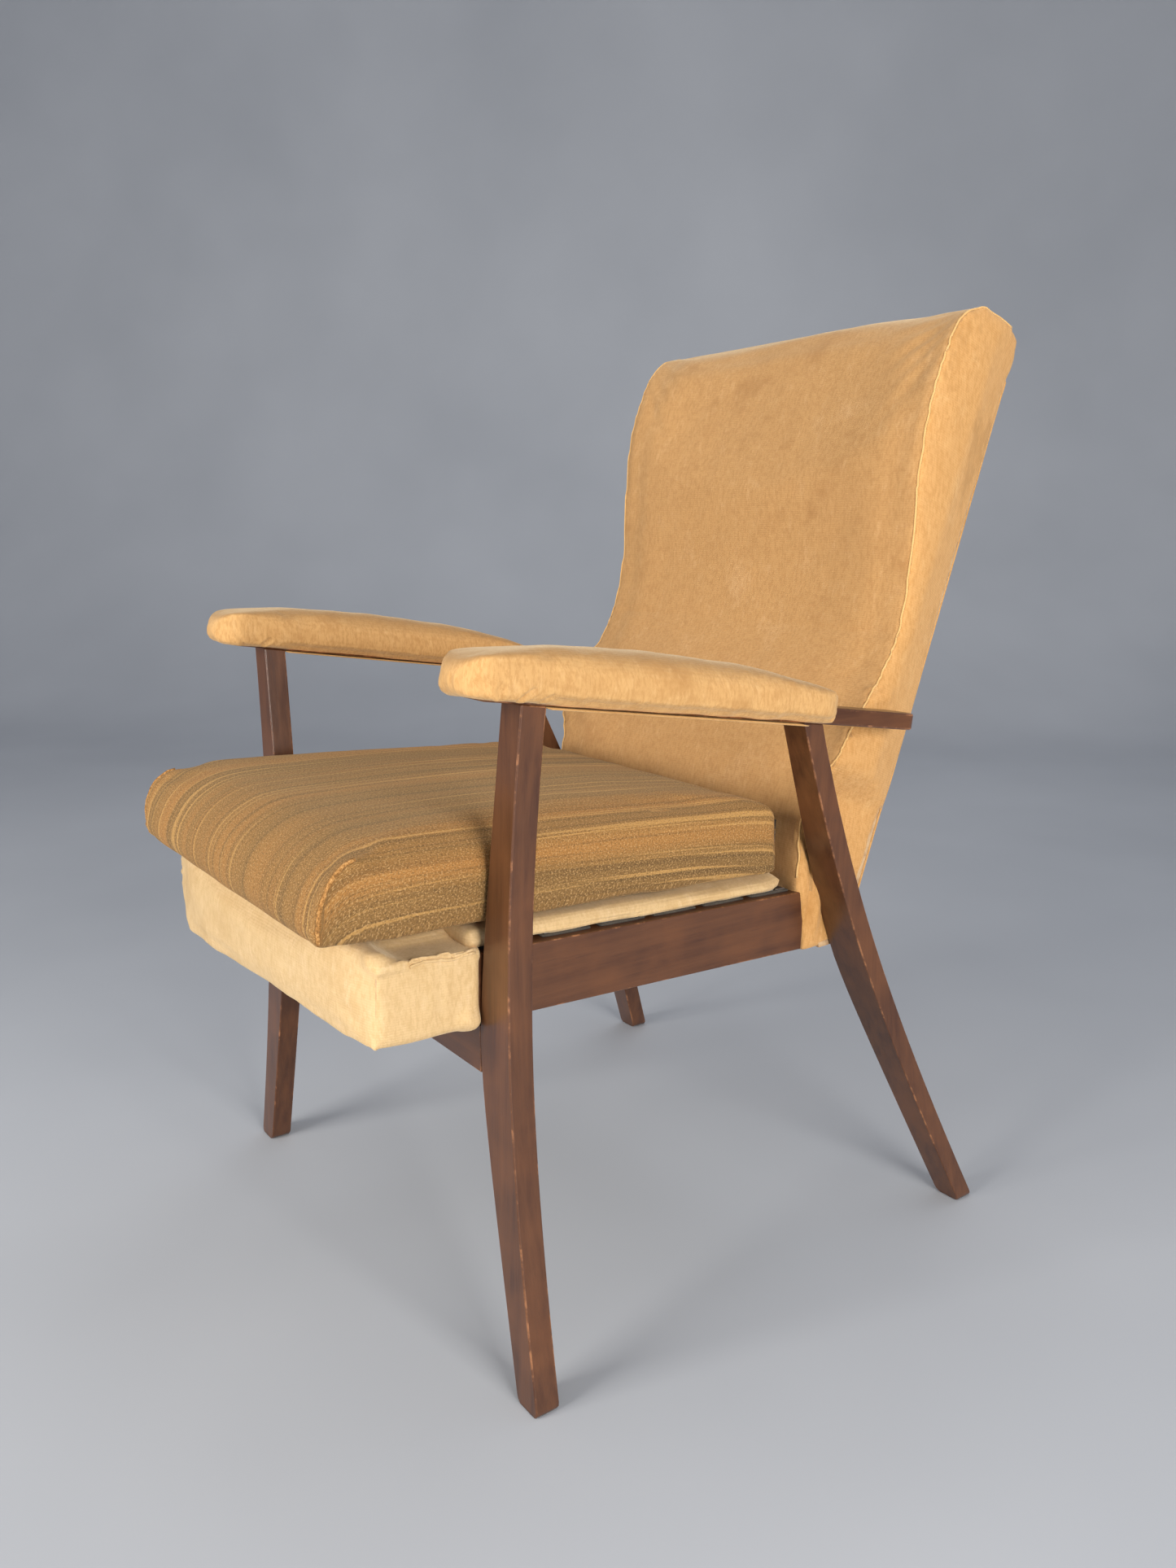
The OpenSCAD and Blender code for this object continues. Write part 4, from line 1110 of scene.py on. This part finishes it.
def board(name, rings, radius, materials):
    """Stands for the node name: a bar through rings of four corners, its arrises and ends eased by
    radius. The arrises take the second, worn material."""
    steps = 3
    bm = bmesh.new()
    centre = [sum(ring, Vector()) / 4 for ring in rings]
    first, last = (centre[1] - centre[0]).normalized(), (centre[-1] - centre[-2]).normalized()

    def eased(ring, r, inset, shift):
        out = []
        for i in range(4):
            c, a, b = ring[i], ring[i - 1], ring[(i + 1) % 4]
            da, db = (a - c).normalized(), (b - c).normalized()
            base = c + (da + db) * inset + shift
            for k in range(steps + 1):
                q = k / steps * math.pi / 2
                out.append(bm.verts.new(base + (da * (1 - math.sin(q)) + db * (1 - math.cos(q))) * r))
        return out

    def rounded(ring, inward, angles):
        return [eased(ring, radius, radius * (1 - math.cos(a * DEG)),
                      inward * radius * (1 - math.sin(a * DEG))) for a in angles]
    made = rounded(rings[0], first, (90, 60, 30, 0))
    made += [eased(ring, radius, 0, Vector()) for ring in rings[1:-1]]
    made += rounded(rings[-1], -last, (0, 30, 60, 90))
    n = 4 * (steps + 1)
    for j, (ra, rb) in enumerate(zip(made, made[1:])):
        for k in range(n):
            face = bm.faces.new((ra[k], ra[(k + 1) % n], rb[(k + 1) % n], rb[k]))
            face.smooth = True
            if k % (steps + 1) != steps or j < 3 or j >= len(made) - 4:
                face.material_index = 1
    bm.faces.new(made[0][::-1])
    bm.faces.new(made[-1])
    obj = closed_mesh(name + "_wood", bm, False)
    mod = obj.modifiers.new("normals", "WEIGHTED_NORMAL")
    mod.keep_sharp = True
    bake(obj)
    finish_piece(obj, "frame", *materials, slot="stained_wood")
    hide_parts(name)


LEG_T, ARRIS = 0.023, 0.0014


def leg_face(z, x, knee_z, splay, rise, bend):
    """X of a leg's face at height z: two straight slopes joined by a smooth knee at (x, knee_z)."""
    dz = z - knee_z
    q = math.sqrt(dz * dz + bend * bend)
    return x + splay * (q - dz) / 2 + rise * (q + dz) / 2


def leg_outer(z):
    return leg_face(z, 0.1785, 0.333, 0.2746, 0.2121, 0.294)


def leg_inner(z, limit):
    return max(limit, leg_face(z, 0.1965, 0.294, 0.2369, 0.1342, 0.0595))


def make_leg(name, side, y0, lean, limit):
    fall = math.tan(8.25 * DEG)
    foot_r = 0.007
    rings = []

    def ring(z, inset=0.0, top=False):
        corners = []
        for x, back in ((leg_inner(z, limit) + inset, 0), (leg_outer(z) - inset, 0),
                        (leg_outer(z) - inset, LEG_T), (leg_inner(z, limit) + inset, LEG_T)):
            height = (0.587 - fall * (y0 + back)) / (1 + fall * lean) if top else z
            corners.append(Vector((side * x, FRONT_Y + y0 + back + lean * height, height)))
        return corners if side > 0 else corners[::-1]
    for a in (0, 30, 60, 90):
        z = foot_r * (1 - math.cos(a * DEG))
        rings.append(ring(z, foot_r * (1 - math.sin(a * DEG)) * 0.85))
    top = (0.587 - fall * y0) / (1 + fall * lean)
    rings += [ring(z) for z in np.arange(0.02, top - 0.02, 0.02)]
    rings.append(ring(top, top=True))
    board(name, rings, ARRIS, WOOD["upright"])


def make_arm_rail(name, side):
    end, r, half, thick = 0.473, 0.013, 0.017, 0.016
    rings = []
    rounded_end = [end - r + r * math.sin(a * DEG) for a in (0, 20, 40, 60, 75, 86)]
    for s in [-0.020, 0.10, 0.25, 0.36, 0.40, 0.44] + rounded_end:
        over = max(0.0, s - (end - r))
        w = half - (r - math.sqrt(max(r * r - over * over, 0)))
        corners = [ARM @ Vector((side * (ARM_X + x), s, h))
                   for x, h in ((-w, 0), (w, 0), (w, thick), (-w, thick))]
        rings.append(corners if side > 0 else corners[::-1])
    board(name, rings, 0.0022, WOOD["along"])


def make_seat_rail(name, side):
    inner, outer, depth = 0.1845, 0.2065, 0.0605
    rings = []
    for k in range(24):
        v = -0.060 + (0.386 + 0.060) * k / 23
        corners = [SEAT @ Vector((side * x, v, h))
                   for x, h in ((inner, -depth), (outer, -depth), (outer, 0), (inner, 0))]
        rings.append(corners if side > 0 else corners[::-1])
    board(name, rings, 0.0012, WOOD["along"])


def make_cross_rail():
    y0, y1, z0, z1 = FRONT_Y + 0.0075, FRONT_Y + 0.0292, 0.270, 0.3125
    rings = [[Vector((x, y, z)) for y, z in ((y0, z0), (y0, z1), (y1, z1), (y1, z0))]
             for x in np.linspace(-0.2065, 0.2065, 16)]
    board("front_cross_rail", rings, ARRIS, WOOD["across"])


def make_wood():
    rear = 0.547
    for name, side in (("left", 1), ("right", -1)):
        make_leg("front_leg_" + name, side, 0.0, 0.0236, 0.2065)
        make_leg("rear_leg_" + name, side, rear, -0.421, 0.208)
        make_arm_rail("arm_rail_" + name, side)
        make_seat_rail("seat_rail_" + name, side)
    make_cross_rail()


def dress_nodes():
    """Materials for the CAD nodes that stay as they are."""
    for material, names in (
            (timber, "border_board corner_blocks back_stile_left back_stile_right back_wing_left "
                     "back_wing_right back_top_rail back_lumbar_rail back_bottom_rail arm_dowels"),
            (straps, "back_webbing"),
            (metal, "webbing_staples leg_bolts arm_bolts zip_slider")):
        for name in names.split():
            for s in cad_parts[name].material_slots:
                s.material = material


# ---- Studio ----

def make_studio():
    scene = bpy.context.scene
    scene.view_settings.view_transform = "Standard"
    g = Graph("studio")
    tone = g.noise(g.place(), 1.2, 3, 0.5)
    colour = g.ramp(tone, (0.3, (0.43, 0.450, 0.485)), (0.7, (0.49, 0.510, 0.545)))
    g.surface(Base_Color=colour, Roughness=0.55, Specular_IOR_Level=0.25)
    bm = bmesh.new()
    reach, depth, height, r = 9.0, 4.2, 5.0, 1.6
    path = [(-8.0, 0.0)] + [(depth - r + x, r + z) for x, z in arc(0, 0, r, 270, 360, 16)] + [(depth, height)]
    turn = Matrix.Rotation(50 * DEG, 4, "Z")
    rows = [[bm.verts.new(turn @ Vector((x, y, z))) for x in (-reach, reach)] for y, z in path]
    for a, b in zip(rows, rows[1:]):
        bm.faces.new((a[0], a[1], b[1], b[0])).smooth = True
    floor = from_bmesh("studio_floor", bm)
    floor.data.materials.append(g.material)
    world = bpy.data.worlds.new("studio")
    scene.world = world
    world.use_nodes = True
    world.node_tree.nodes["Background"].inputs[0].default_value = (0.86, 0.90, 1.0, 1)
    world.node_tree.nodes["Background"].inputs[1].default_value = 0.34
    for name, place, power, size, tint in (
            ("key", (0.0, -3.1, 1.25), 92, 1.4, (1.0, 0.96, 0.90)),
            ("side", (3.0, -0.4, 1.05), 92, 1.3, (1.0, 0.97, 0.92)),
            ("top", (-0.4, 1.2, 3.4), 18, 2.0, (0.95, 0.97, 1.0))):
        lamp = bpy.data.lights.new(name, "AREA")
        lamp.energy, lamp.size, lamp.color = power, size, tint
        obj = new_object(name, lamp)
        obj.location = place
        obj.rotation_mode = "QUATERNION"
        obj.rotation_quaternion = (Vector((0, 0, 0.45)) - Vector(place)).to_track_quat("-Z", "Y")


def make_camera():
    """The photograph's viewpoint: place, turn from the chair's front, and downward tilt."""
    camera = bpy.data.cameras.new("camera")
    camera.sensor_width, camera.lens = 36.0, 27.43
    obj = new_object("camera", camera)
    azimuth, fall = 53.78 * DEG, 12.34 * DEG
    forward = Vector((-math.sin(azimuth), math.cos(azimuth), -math.tan(fall))).normalized()
    obj.location = (0.9987, -0.7235, 0.7161)
    obj.rotation_mode = "QUATERNION"
    obj.rotation_quaternion = forward.to_track_quat("-Z", "Y")
    bpy.context.scene.camera = obj


make_camera()
make_studio()
make_wood()
make_back()
make_rear_panel()
make_arms()
make_border()
make_platform()
make_webbing()
make_cushion()
make_zip()
dress_nodes()
